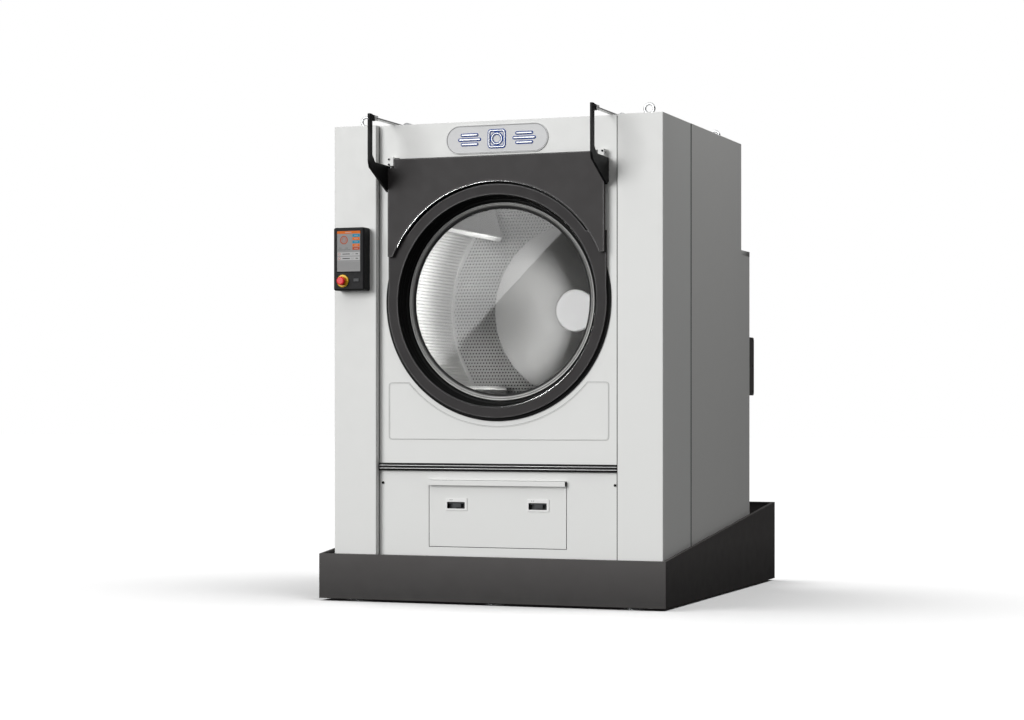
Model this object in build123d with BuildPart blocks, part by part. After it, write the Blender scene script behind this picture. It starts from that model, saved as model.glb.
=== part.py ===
from build123d import *
import math
import os

os.makedirs("parts", exist_ok=True)

# Millimetres. +X is the machine's right as seen from the front, +Y goes into the machine, +Z is up.
# The origin is on the floor, at the centre of the drip pan's footprint.

# Driving dimensions of the cabinet
WIDTH = 1800
DEPTH = 1508
HEIGHT = 2480
HALF = WIDTH / 2
FRONT = -1003
BACK = FRONT + DEPTH
SKIN = 3
GAP = 0.3

# Drip pan and base frame
PAN_HALF = 943
PAN_END = 1100
PAN_BOTTOM = 12
PAN_FRONT_TOP = 244
PAN_REAR_TOP = 456
PAN_WALL = 6
PAN_LIP = 18
RAIL_X = 700
RAIL_TOP = 118
ANCHOR_X = 1640
ANCHOR_Y = 1960
ANCHOR_R = 9

# Welded chassis inside the cabinet
CHASSIS_BAR = 50
CHASSIS_LOW = 235

# Tilt pivot and lift rams
TILT_Y = FRONT + 150
TILT_Z = 190
TILT_R = 22
RAM_X = 760
RAM_FOOT = (BACK + 62, 170)
RAM_HEAD = (BACK + 92, 700)
RAM_PIN_R = 20
RAM_EYE_PLAY = 6

# Front wall
COLUMN_X = 660
COLUMN_EDGE = 5
SEAM_Y = FRONT + 505
BODY_BOTTOM = 200
PANEL_Y = FRONT + 38
RAIL_Z = 698
RAIL_HALF_H = 20
ROOF_Z = 2440

# Door
AXIS_Z = 1553
PORT_R = 565
DOOR_Y = FRONT - 8
RING_Y = FRONT + 14
FLANGE_Y = FRONT + 30
PLATE_HALF = 592
PLATE_TOP = 2298
PLATE_LEDGE = 1790
ARCH_R = 613
RING_R = 600
RING_IN_R = 545
FLANGE_R = 617
RIM_R = 513
GLASS_R = 486
RIM_Y = FRONT + 92
HINGE_Y = FRONT + 15
HINGE_Z = 2288
PIN_R = 8
ARM_X = 600
ARM_T = 12
ARM_TOP_PIN = (FRONT - 165, 2494)
ROD_R = 8
GAS_R = 25
GAS_FRONT = FRONT + 260
GAS_LENGTH = 470

# Drum
DRUM_R = 759
DRUM_FRONT = FRONT + 150
DRUM_BACK = FRONT + 1290
DRUM_T = 3
TUB_R = 790
HUB_R = 119
PULLEY_Y = FRONT + 1440
PULLEY_R = 400
MOTOR_X = 560
MOTOR_Z = 470
MOTOR_PULLEY_R = 60
SHAFT_R = 45

# Side bracket on the rear housing
BRACKET_Z = 1240
BRACKET_PITCH = 145
BRACKET_HOLE_R = 10

# Lint drawer
DRAWER_HALF = 376
DRAWER_LOW = 287
DRAWER_HIGH = 628
DRAWER_DEPTH = 480
LATCH_X = 224.5
LATCH_Z = 506

# Operator panel
HMI_X = -784
HMI_Z = 1780
HMI_W = 174
HMI_H = 328
HMI_T = 75
SCREEN_Z = 1820
ESTOP = (-817, 1665)
RESET = (-740, 1669)


def box(x, y, z):
    """One box between the low and high corners given as three pairs, in builder mode."""
    with BuildPart() as made:
        with BuildSketch(Plane.XY.offset(z[0])):
            with Locations(((x[0] + x[1]) / 2, (y[0] + y[1]) / 2)):
                Rectangle(x[1] - x[0], y[1] - y[0])
        extrude(amount=z[1] - z[0])
    return made.part


def facing(y):
    """A plane at depth y whose local x is X and local y is Z; extruding goes towards -Y."""
    return Plane(origin=(0, y, 0), x_dir=(1, 0, 0), z_dir=(0, -1, 0))


def side_on(x):
    """A plane at x whose local x is Y and local y is Z; extruding goes towards +X."""
    return Plane(origin=(x, 0, 0), x_dir=(0, 1, 0), z_dir=(1, 0, 0))


def save(part, name):
    part.label = name
    export_step(part, f"parts/{name}.step")


def both(part, name):
    """Save a right-hand part and its mirror image as name_right and name_left."""
    save(part, f"{name}_right")
    save(mirror(part, about=Plane.YZ), f"{name}_left")


# ---------------------------------------------------------------- base

def make_pan():
    slope = (PAN_REAR_TOP - PAN_FRONT_TOP) / (2 * PAN_END)
    with BuildPart() as pan:
        with BuildSketch(side_on(-PAN_HALF)):
            with BuildLine():
                Polyline(
                    (-PAN_END, PAN_BOTTOM),
                    (PAN_END, PAN_BOTTOM),
                    (PAN_END, PAN_REAR_TOP),
                    (-PAN_END, PAN_FRONT_TOP),
                    close=True,
                )
            make_face()
        extrude(amount=2 * PAN_HALF)
        with BuildSketch(side_on(-PAN_HALF + PAN_LIP)):
            with BuildLine():
                Polyline(
                    (-PAN_END + PAN_LIP, PAN_FRONT_TOP - 40),
                    (PAN_END - PAN_LIP, PAN_FRONT_TOP - 40),
                    (PAN_END - PAN_LIP, PAN_REAR_TOP + 40),
                    (-PAN_END + PAN_LIP, PAN_REAR_TOP + 40),
                    close=True,
                )
            make_face()
        extrude(amount=2 * (PAN_HALF - PAN_LIP), mode=Mode.SUBTRACT)
        with BuildSketch(side_on(-PAN_HALF + PAN_WALL)):
            with BuildLine():
                Polyline(
                    (-PAN_END + PAN_WALL, PAN_BOTTOM + PAN_WALL),
                    (PAN_END - PAN_WALL, PAN_BOTTOM + PAN_WALL),
                    (PAN_END - PAN_WALL, PAN_REAR_TOP - PAN_WALL - slope * PAN_WALL),
                    (-PAN_END + PAN_WALL, PAN_FRONT_TOP - PAN_WALL + slope * PAN_WALL),
                    close=True,
                )
            make_face()
        extrude(amount=2 * (PAN_HALF - PAN_WALL), mode=Mode.SUBTRACT)
        with Locations((0, 0, PAN_BOTTOM + PAN_WALL)):
            with GridLocations(ANCHOR_X, ANCHOR_Y, 2, 2):
                Hole(ANCHOR_R, depth=2 * PAN_WALL)
    save(pan.part, "base_pan")


def make_feet():
    with BuildPart() as feet:
        with BuildSketch():
            with GridLocations(750, 1000, 3, 3):
                Circle(48)
        extrude(amount=6)
        with BuildSketch(Plane.XY.offset(6)):
            with GridLocations(750, 1000, 3, 3):
                Circle(14)
        extrude(amount=PAN_BOTTOM - 6)
    save(feet.part, "levelling_feet")


def pin_along_x(x, y, z, radius, length):
    """A round pin centred at a point, lying along X."""
    with BuildPart() as pin:
        with BuildSketch(side_on(x - length / 2)):
            with Locations((y, z)):
                Circle(radius)
        extrude(amount=length)
    return pin.part


def make_base_frame():
    floor = PAN_BOTTOM + PAN_WALL
    with BuildPart() as frame:
        for side in (-1, 1):
            add(box((side * RAIL_X - 50, side * RAIL_X + 50), (-1040, 1040), (floor, RAIL_TOP)))
        for y in (-1000, -200, 980):
            add(box((-RAIL_X, RAIL_X), (y - 40, y + 40), (floor, RAIL_TOP - 20)))
        for side in (-1, 1):
            bore = (side * RAIL_X - 44, side * RAIL_X + 44)
            add(box(bore, (-1041, 1041), (floor + 6, RAIL_TOP - 6)), mode=Mode.SUBTRACT)
        for x in (-RAIL_X, RAIL_X):
            for ear in (-31, 31):
                with BuildSketch(side_on(x + ear - 8)):
                    with BuildLine():
                        Polyline(
                            (TILT_Y - 70, RAIL_TOP - 5),
                            (TILT_Y + 70, RAIL_TOP - 5),
                            (TILT_Y + 36, TILT_Z),
                            (TILT_Y - 36, TILT_Z),
                            close=True,
                        )
                    make_face()
                    with Locations((TILT_Y, TILT_Z)):
                        Circle(36)
                extrude(amount=16)
            add(pin_along_x(x, TILT_Y, TILT_Z, TILT_R, 100))
        for x in (-RAM_X, RAM_X):
            for ear in (-33, 33):
                with BuildSketch(side_on(x + ear - 7)):
                    with BuildLine():
                        Polyline(
                            (RAM_FOOT[0] - 60, floor),
                            (RAM_FOOT[0] + 60, floor),
                            (RAM_FOOT[0] + 34, RAM_FOOT[1]),
                            (RAM_FOOT[0] - 34, RAM_FOOT[1]),
                            close=True,
                        )
                    make_face()
                    with Locations((RAM_FOOT[0], RAM_FOOT[1])):
                        Circle(36)
                extrude(amount=14)
            add(pin_along_x(x, RAM_FOOT[0], RAM_FOOT[1], RAM_PIN_R, 90))
            add(box((x - 60, x + 60), (RAM_FOOT[0] - 70, RAM_FOOT[0] + 70), (floor, floor + 14)))
    save(frame.part, "base_frame")
    with BuildPart() as pads:
        for side in (-1, 1):
            add(box((side * RAIL_X - 40, side * RAIL_X + 40), (330, 430), (RAIL_TOP, CHASSIS_LOW - GAP)))
    save(pads.part, "rest_pads")


# ---------------------------------------------------------------- lift rams

def ram_plane(origin, toward):
    """A plane across the ram at origin, with its normal pointing at toward and local x along X."""
    along = (0, toward[0] - origin[0], toward[1] - origin[1])
    return Plane(origin=(0, origin[0], origin[1]), x_dir=(1, 0, 0), z_dir=along)


def make_rams():
    reach = math.dist(RAM_FOOT, RAM_HEAD)
    across = ram_plane(RAM_FOOT, RAM_HEAD)
    with BuildPart() as barrel:
        with BuildSketch(side_on(RAM_X - 25)):
            with Locations(RAM_FOOT):
                Circle(34)
                Circle(RAM_PIN_R + 0.05, mode=Mode.SUBTRACT)
        extrude(amount=50)
        with BuildSketch(across.offset(30)):
            with Locations((RAM_X, 0)):
                Circle(24)
        extrude(amount=30)
        with BuildSketch(across.offset(55)):
            with Locations((RAM_X, 0)):
                Circle(45)
        extrude(amount=335)
        with BuildSketch(across.offset(75)):
            with Locations((RAM_X, 0)):
                Circle(35)
        extrude(amount=285, mode=Mode.SUBTRACT)
        with BuildSketch(across.offset(350)):
            with Locations((RAM_X, 0)):
                Circle(22.55)
        extrude(amount=60, mode=Mode.SUBTRACT)
    both(barrel.part, "ram_barrel")
    with BuildPart() as rod:
        with BuildSketch(across.offset(80)):
            with Locations((RAM_X, 0)):
                Circle(34.95)
        extrude(amount=25)
        with BuildSketch(across.offset(100)):
            with Locations((RAM_X, 0)):
                Circle(22.5)
        extrude(amount=reach - 130)
        with BuildSketch(side_on(RAM_X - 22)):
            with Locations(RAM_HEAD):
                Circle(44)
        extrude(amount=44)
        with BuildSketch(side_on(RAM_X - 23)):
            with Locations(RAM_HEAD):
                Circle(RAM_PIN_R + RAM_EYE_PLAY)
        extrude(amount=46, mode=Mode.SUBTRACT)
    both(rod.part, "ram_rod")


# ---------------------------------------------------------------- cabinet

def make_chassis():
    bar = CHASSIS_BAR
    outer = HALF - 12
    low = (CHASSIS_LOW, CHASSIS_LOW + bar)
    high = (2360, 2360 + bar)
    ends = ((FRONT + 46, FRONT + 46 + bar), (BACK - 6 - bar, BACK - 6))
    head = (RAM_HEAD[1] - 60, RAM_HEAD[1] + 60)
    with BuildPart() as chassis:
        for side in (-1, 1):
            x = sorted((side * outer, side * (outer - bar)))
            for y in ends:
                add(box(x, y, (low[0], high[1])))
            for z in (low, high):
                add(box(x, (ends[0][0], ends[1][1]), z))
            inner = (side * RAIL_X - bar / 2, side * RAIL_X + bar / 2)
            add(box(inner, (ends[0][0], ends[1][1]), low))
            add(box(sorted((side * (RAM_X - 55), side * outer)), ends[1], head))
        for y in ends:
            add(box((-outer, outer), y, low))
            add(box((-outer, outer), y, high))
        for x in (-RAIL_X, RAIL_X):
            with BuildSketch(side_on(x - 22)):
                with BuildLine():
                    Polyline(
                        (TILT_Y - 60, low[0] + 5),
                        (TILT_Y + 60, low[0] + 5),
                        (TILT_Y + 34, TILT_Z),
                        (TILT_Y - 34, TILT_Z),
                        close=True,
                    )
                make_face()
                with Locations((TILT_Y, TILT_Z)):
                    Circle(36)
            extrude(amount=44)
        with BuildSketch(side_on(-HALF)):
            with Locations((TILT_Y, TILT_Z)):
                Circle(TILT_R + 0.05)
        extrude(amount=WIDTH, mode=Mode.SUBTRACT)
    save(chassis.part, "chassis")


def make_ram_heads():
    with BuildPart() as heads:
        for x in (-RAM_X, RAM_X):
            add(box((x - 60, x + 60), (BACK + GAP, BACK + 14), (RAM_HEAD[1] - 70, RAM_HEAD[1] + 70)))
            for ear in (-36, 36):
                with BuildSketch(side_on(x + ear - 8)):
                    with BuildLine():
                        Polyline(
                            (BACK + 13, RAM_HEAD[1] - 60),
                            (RAM_HEAD[0], RAM_HEAD[1] - 30),
                            (RAM_HEAD[0], RAM_HEAD[1] + 30),
                            (BACK + 13, RAM_HEAD[1] + 60),
                            close=True,
                        )
                    make_face()
                    with Locations(RAM_HEAD):
                        Circle(30)
                extrude(amount=16)
            add(pin_along_x(x, RAM_HEAD[0], RAM_HEAD[1], RAM_PIN_R, 96))
    save(heads.part, "ram_head_brackets")


def make_columns():
    with BuildPart() as column:
        with BuildSketch(Plane.XY.offset(BODY_BOTTOM)):
            with Locations(((COLUMN_X + HALF) / 2, (FRONT + SEAM_Y) / 2)):
                Rectangle(HALF - COLUMN_X, SEAM_Y - FRONT)
        extrude(amount=HEIGHT - BODY_BOTTOM)
        fillet(column.edges().filter_by(Axis.Z).group_by(Axis.Y)[0], COLUMN_EDGE)
        fillet(column.faces().sort_by(Axis.Y)[0].edges().sort_by(Axis.Z)[-1], 4)
        inner_w = HALF - COLUMN_X - 2 * SKIN
        inner_d = SEAM_Y - FRONT
        with BuildSketch(Plane.XY.offset(BODY_BOTTOM)):
            with Locations(((COLUMN_X + HALF) / 2, (FRONT + SEAM_Y) / 2 + SKIN)):
                Rectangle(inner_w, inner_d)
            front = vertices().group_by(Axis.Y)[0]
            fillet(front, COLUMN_EDGE - SKIN)
        extrude(amount=HEIGHT - BODY_BOTTOM - SKIN, mode=Mode.SUBTRACT)
        with BuildSketch(Plane.XY.offset(BODY_BOTTOM)):
            with Locations((COLUMN_X, (PANEL_Y + 6 + SEAM_Y) / 2 + 1)):
                Rectangle(4 * SKIN, SEAM_Y - PANEL_Y - 4)
        extrude(amount=HEIGHT - BODY_BOTTOM - SKIN, mode=Mode.SUBTRACT)
    both(column.part, "column")


def make_side_panels():
    start = SEAM_Y + 5
    tongue = (HALF - 2 * SKIN - GAP, HALF - SKIN - GAP)
    with BuildPart() as panel:
        add(box((HALF - SKIN, HALF), (start, BACK), (BODY_BOTTOM, HEIGHT)))
        add(box((COLUMN_X, HALF), (start, BACK), (HEIGHT - SKIN, HEIGHT)))
        add(box(tongue, (SEAM_Y - 12, start + 20), (BODY_BOTTOM, HEIGHT - 4)))
        add(box((HALF - SKIN - 1, HALF - SKIN), (start, start + 20), (BODY_BOTTOM, HEIGHT - 4)))
        fillet(panel.edges().filter_by(Axis.Y).sort_by(Axis.Z)[-1], 2)
    both(panel.part, "side_panel")


def pill_outline(width, height, thickness, plane):
    """A raised pill-shaped line on a plane."""
    with BuildPart() as line:
        with BuildSketch(plane):
            SlotOverall(width, height)
            SlotOverall(width - 2 * thickness, height - 2 * thickness, mode=Mode.SUBTRACT)
        extrude(amount=2)
    return line.part


def make_front_panel():
    low = RAIL_Z + 2
    height = HEIGHT - low
    outline_low = 842
    outline_top = 1134
    outline_half = 602
    outline_r = 645
    with BuildPart() as panel:
        with BuildSketch(facing(PANEL_Y + SKIN)):
            with Locations((0, low + height / 2)):
                Rectangle(2 * COLUMN_X - 2 * GAP, height)
            with Locations((0, AXIS_Z)):
                Circle(PORT_R, mode=Mode.SUBTRACT)
        extrude(amount=SKIN)
        add(box((-COLUMN_X + GAP, COLUMN_X - GAP), (PANEL_Y, PANEL_Y + 60), (HEIGHT - SKIN, HEIGHT)))
        fillet(panel.edges().filter_by(Axis.X).group_by(Axis.Y)[0].sort_by(Axis.Z)[-1], 2)
        with BuildSketch(facing(PANEL_Y)):
            with Locations((0, (outline_low + outline_top) / 2)):
                RectangleRounded(2 * outline_half, outline_top - outline_low, 22)
            with Locations((0, AXIS_Z)):
                Circle(outline_r, mode=Mode.SUBTRACT)
            with Locations((0, (outline_low + outline_top) / 2)):
                RectangleRounded(
                    2 * outline_half - 8, outline_top - outline_low - 8, 18, mode=Mode.SUBTRACT
                )
        extrude(amount=0.8)
        with BuildSketch(facing(PANEL_Y)):
            with Locations((0, AXIS_Z)):
                Circle(outline_r + 4)
                Circle(outline_r, mode=Mode.SUBTRACT)
            with Locations((0, (outline_low + outline_top) / 2)):
                RectangleRounded(
                    2 * outline_half, outline_top - outline_low, 22, mode=Mode.INTERSECT
                )
        extrude(amount=0.8)
    save(panel.part, "front_panel")


def make_lower_panel():
    low = BODY_BOTTOM + 15
    height = RAIL_Z - low
    with BuildPart() as panel:
        with BuildSketch(facing(PANEL_Y + SKIN)):
            with Locations((0, low + height / 2)):
                Rectangle(2 * COLUMN_X - 2 * GAP, height)
            with Locations((0, (DRAWER_LOW + DRAWER_HIGH) / 2)):
                Rectangle(2 * DRAWER_HALF + 6, DRAWER_HIGH - DRAWER_LOW + 6, mode=Mode.SUBTRACT)
        extrude(amount=SKIN)
        with BuildSketch(facing(PANEL_Y)):
            with Locations((-637, 614), (637, 614)):
                Circle(7)
        extrude(amount=4)
    save(panel.part, "lower_panel")


def make_bumper_rail():
    half = COLUMN_X - 5
    front = PANEL_Y - 18
    low = RAIL_Z - RAIL_HALF_H
    high = RAIL_Z + RAIL_HALF_H
    with BuildPart() as rail:
        with BuildSketch(side_on(-half)):
            with BuildLine():
                Polyline(
                    (PANEL_Y - GAP, low),
                    (front + 3, low),
                    (front, low + 3),
                    (front, low + 9),
                    (front + 5, low + 13),
                    (front + 5, high - 13),
                    (front, high - 9),
                    (front, high - 3),
                    (front + 3, high),
                    (PANEL_Y - GAP, high),
                    close=True,
                )
            make_face()
        extrude(amount=2 * half)
    save(rail.part, "bumper_rail")


def make_roof():
    half = COLUMN_X - 2
    front = PANEL_Y + 65
    with BuildPart() as roof:
        add(box((-half, half), (front, BACK), (ROOF_Z - 20, HEIGHT - 1)))
        for tray in ((ROOF_Z, HEIGHT), (ROOF_Z - 20, ROOF_Z - SKIN)):
            inner = box((-half + SKIN, half - SKIN), (front + SKIN, BACK - SKIN), tray)
            add(inner, mode=Mode.SUBTRACT)
    save(roof.part, "roof_pan")


def make_rear():
    inside = HALF - SKIN - GAP
    panel_y = (BACK - SKIN - 1, BACK - 1)
    with BuildPart() as panel:
        add(box((-inside, inside), panel_y, (BODY_BOTTOM + 40, ROOF_Z - 25)))
        for side in (-1, 1):
            ear = sorted((side * (COLUMN_X + GAP), side * inside))
            add(box(ear, panel_y, (ROOF_Z - 30, HEIGHT - SKIN - GAP)))
    save(panel.part, "rear_panel")
    depth = 182
    top = 1888
    low = 240
    rear = BACK + depth
    with BuildPart() as housing:
        add(box((-HALF, HALF), (BACK + GAP, rear), (low, top - 28)))
        add(box((-HALF + SKIN, HALF - SKIN), (BACK, rear - SKIN), (low, top - 28)), mode=Mode.SUBTRACT)
        fillet(housing.edges().filter_by(Axis.Z).group_by(Axis.Y)[-1], 2)
    save(housing.part, "rear_housing")
    with BuildPart() as lid:
        add(box((-HALF, HALF), (BACK + GAP, rear), (top - 28 + GAP, top)))
        add(box((-HALF + SKIN, HALF - SKIN), (BACK, rear - SKIN), (top - 28, top - SKIN)), mode=Mode.SUBTRACT)
        fillet(lid.faces().sort_by(Axis.Z)[-1].edges(), 2)
    save(lid.part, "rear_lid")
    with BuildPart() as bracket:
        with BuildSketch(side_on(HALF - 8)):
            with Locations((rear + 53, BRACKET_Z)):
                RectangleRounded(106, 330, 20)
            with Locations((rear + 76, BRACKET_Z)):
                with GridLocations(1, BRACKET_PITCH, 1, 3):
                    Circle(BRACKET_HOLE_R, mode=Mode.SUBTRACT)
        extrude(amount=6)
        add(box((HALF - 80, HALF - 2), (rear + GAP, rear + 6), (BRACKET_Z - 150, BRACKET_Z + 150)))
    save(bracket.part, "rear_bracket")


def make_lifting_eyes():
    spots = [(side * 783, FRONT + y) for side in (-1, 1) for y in (150, 1380)]
    with BuildPart() as eyes:
        with BuildSketch(Plane.XY.offset(HEIGHT)):
            with Locations(*spots):
                Circle(18)
        extrude(amount=8)
        with BuildSketch(Plane.XY.offset(HEIGHT + 8)):
            with Locations(*spots):
                Circle(11)
        extrude(amount=8)
        with Locations(*[(x, y, HEIGHT + 38) for x, y in spots]):
            Torus(24.5, 7, rotation=(90, 0, 0))
    save(eyes.part, "lifting_eyes")


def make_tub():
    with BuildPart() as tub:
        with BuildSketch(facing(FRONT + 1330)):
            with Locations((0, AXIS_Z)):
                Circle(TUB_R)
        extrude(amount=1240)
        with BuildSketch(facing(FRONT + 1326)):
            with Locations((0, AXIS_Z)):
                Circle(TUB_R - 2)
        extrude(amount=1232, mode=Mode.SUBTRACT)
        with BuildSketch(facing(FRONT + 1331)):
            with Locations((0, AXIS_Z)):
                Circle(SHAFT_R + 6)
        extrude(amount=10, mode=Mode.SUBTRACT)
        with BuildSketch(facing(FRONT + 140)):
            with Locations((0, AXIS_Z)):
                Circle(574)
        extrude(amount=140 - 42)
        with BuildSketch(facing(FRONT + 141)):
            with Locations((0, AXIS_Z)):
                Circle(571)
        extrude(amount=110, mode=Mode.SUBTRACT)
    save(tub.part, "tub")


def make_drive():
    post = HALF - 12 - CHASSIS_BAR - GAP
    motor_base = (CHASSIS_LOW + CHASSIS_BAR + GAP, 370)
    with BuildPart() as housing:
        with BuildSketch(facing(FRONT + 1430)):
            with Locations((0, AXIS_Z)):
                Circle(110)
        extrude(amount=98)
        add(box((-post, post), (FRONT + 1350, FRONT + 1410), (AXIS_Z - 45, AXIS_Z + 45)))
        for side in (-1, 1):
            x = sorted((side * post, side * (post - 14)))
            add(box(x, (FRONT + 1350, FRONT + 1500), (AXIS_Z - 110, AXIS_Z + 110)))
        with BuildSketch(facing(FRONT + 1431)):
            with Locations((0, AXIS_Z)):
                Circle(SHAFT_R + 0.05)
        extrude(amount=100, mode=Mode.SUBTRACT)
    save(housing.part, "bearing_housing")

    with BuildPart() as motor:
        with BuildSketch(facing(FRONT + 1400)):
            with Locations((MOTOR_X, MOTOR_Z)):
                Circle(120)
        extrude(amount=380)
        add(box((MOTOR_X - 90, MOTOR_X + 165), (FRONT + 1080, FRONT + 1360), motor_base))
        with BuildSketch(facing(FRONT + 1401)):
            with Locations((MOTOR_X, MOTOR_Z)):
                Circle(19.05)
        extrude(amount=60, mode=Mode.SUBTRACT)
    save(motor.part, "motor")

    with BuildPart() as pulley:
        with BuildSketch(facing(PULLEY_Y + 45)):
            with Locations((MOTOR_X, MOTOR_Z)):
                Circle(MOTOR_PULLEY_R)
        extrude(amount=45)
        with BuildSketch(facing(PULLEY_Y + 1)):
            with Locations((MOTOR_X, MOTOR_Z)):
                Circle(19)
        extrude(amount=90)
    save(pulley.part, "motor_pulley")

    with BuildPart() as belt:
        with BuildSketch(facing(PULLEY_Y + 40)):
            with Locations((0, AXIS_Z)):
                Circle(PULLEY_R + 12)
            with Locations((MOTOR_X, MOTOR_Z)):
                Circle(MOTOR_PULLEY_R + 12)
            make_hull()
        extrude(amount=35)
        with BuildSketch(facing(PULLEY_Y + 41)):
            with Locations((0, AXIS_Z)):
                Circle(PULLEY_R + 0.5)
            with Locations((MOTOR_X, MOTOR_Z)):
                Circle(MOTOR_PULLEY_R + 0.5)
            make_hull()
        extrude(amount=40, mode=Mode.SUBTRACT)
    save(belt.part, "drive_belt")


def make_badge():
    plane = facing(PANEL_Y)
    with BuildPart() as badge:
        with BuildSketch(Plane(origin=(0, PANEL_Y - GAP, 2386), x_dir=(1, 0, 0), z_dir=(0, -1, 0))):
            SlotOverall(560, 148)
        extrude(amount=3)
        rim = Plane(origin=(0, PANEL_Y - 3, 2386), x_dir=(1, 0, 0), z_dir=plane.z_dir)
        add(pill_outline(560, 148, 6, rim))
    save(badge.part, "badge_plate")
    face = PANEL_Y - 3.6
    with BuildPart() as emblem:
        with BuildSketch(Plane(origin=(0, face, 2386), x_dir=(1, 0, 0), z_dir=plane.z_dir)):
            RectangleRounded(92, 92, 14)
            RectangleRounded(76, 76, 8, mode=Mode.SUBTRACT)
            Circle(31)
            Circle(23, mode=Mode.SUBTRACT)
            with Locations((-150, 0), (150, 0)):
                RectangleRounded(120, 10, 4.9)
            with Locations((-150, 24), (150, -24)):
                RectangleRounded(90, 10, 4.9)
            with Locations((-150, -24), (150, 24)):
                RectangleRounded(90, 10, 4.9)
        extrude(amount=4)
    save(emblem.part, "badge_emblem")


def make_hinge_blocks():
    with BuildPart() as blocks:
        for side in (-1, 1):
            x = sorted((side * 560, side * 592))
            add(box(x, (HINGE_Y - 23, PANEL_Y - GAP), (2262, 2308)))
        fillet(blocks.edges().filter_by(Axis.X), 3)
        for side in (-1, 1):
            with BuildSketch(side_on(side * 576 - 20)):
                with Locations((HINGE_Y, HINGE_Z)):
                    Circle(PIN_R + 0.05)
            extrude(amount=40, mode=Mode.SUBTRACT)
        with BuildSketch(facing(HINGE_Y - 22)):
            for side in (-1, 1):
                with Locations((side * 584, 2297), (side * 584, 2270)):
                    Circle(4.5)
        extrude(amount=4)
    save(blocks.part, "hinge_blocks")


def make_saddles():
    with BuildPart() as saddles:
        for side in (-1, 1):
            for y in (GAS_FRONT + 60, GAS_FRONT + GAS_LENGTH - 60):
                x = side * ARM_X
                add(box((x - 38, x + 38), (y - 18, y + 18), (ROOF_Z, ARM_TOP_PIN[1] + 6)))
                slot = (x - GAS_R - 1, x + GAS_R + 1)
                add(box(slot, (y - 19, y + 19), (ARM_TOP_PIN[1], ARM_TOP_PIN[1] + 7)), mode=Mode.SUBTRACT)
                with BuildSketch(facing(y + 19)):
                    with Locations((x, ARM_TOP_PIN[1])):
                        Circle(GAS_R + 1)
                extrude(amount=38, mode=Mode.SUBTRACT)
    save(saddles.part, "cylinder_saddles")


def make_operator_panel():
    face = FRONT - HMI_T
    with BuildPart() as housing:
        with BuildSketch(facing(FRONT - GAP)):
            with Locations((HMI_X, HMI_Z)):
                RectangleRounded(HMI_W, HMI_H, 10)
        extrude(amount=HMI_T - GAP)
        fillet(housing.faces().sort_by(Axis.Y)[0].edges().sort_by(Axis.X)[-1], 9)
        with BuildSketch(facing(face)):
            with Locations((HMI_X, SCREEN_Z)):
                RectangleRounded(142, 222, 4)
        extrude(amount=-3, mode=Mode.SUBTRACT)
        with BuildSketch(facing(face)):
            with Locations(ESTOP):
                Circle(16.2)
        extrude(amount=-40, mode=Mode.SUBTRACT)
        with BuildSketch(facing(face)):
            with Locations(RESET):
                RectangleRounded(31, 17, 3)
        extrude(amount=-20, mode=Mode.SUBTRACT)
    save(housing.part, "hmi_housing")
    with BuildPart() as display:
        with BuildSketch(facing(face + 2.7)):
            with Locations((HMI_X, SCREEN_Z)):
                RectangleRounded(141, 221, 3.5)
        extrude(amount=3)
    save(display.part, "hmi_display")
    with BuildPart() as ring:
        with BuildSketch(facing(face - GAP)):
            with Locations(ESTOP):
                Circle(33)
                Circle(16.2, mode=Mode.SUBTRACT)
        extrude(amount=6)
        chamfer(ring.faces().sort_by(Axis.Y)[0].edges().sort_by(SortBy.LENGTH)[-1], 3)
    save(ring.part, "estop_ring")
    with BuildPart() as button:
        with BuildSketch(facing(face + 36)):
            with Locations(ESTOP):
                Circle(16)
        extrude(amount=52)
        with BuildSketch(facing(face - 14)):
            with Locations(ESTOP):
                Circle(22)
        extrude(amount=22)
        fillet(button.faces().sort_by(Axis.Y)[0].edges(), 7)
    save(button.part, "estop_button")
    with BuildPart() as reset:
        with BuildSketch(facing(face + 12)):
            with Locations(RESET):
                RectangleRounded(30, 16, 2.5)
        extrude(amount=16)
        fillet(reset.faces().sort_by(Axis.Y)[0].edges(), 1.2)
    save(reset.part, "reset_button")


# ---------------------------------------------------------------- drum

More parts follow.
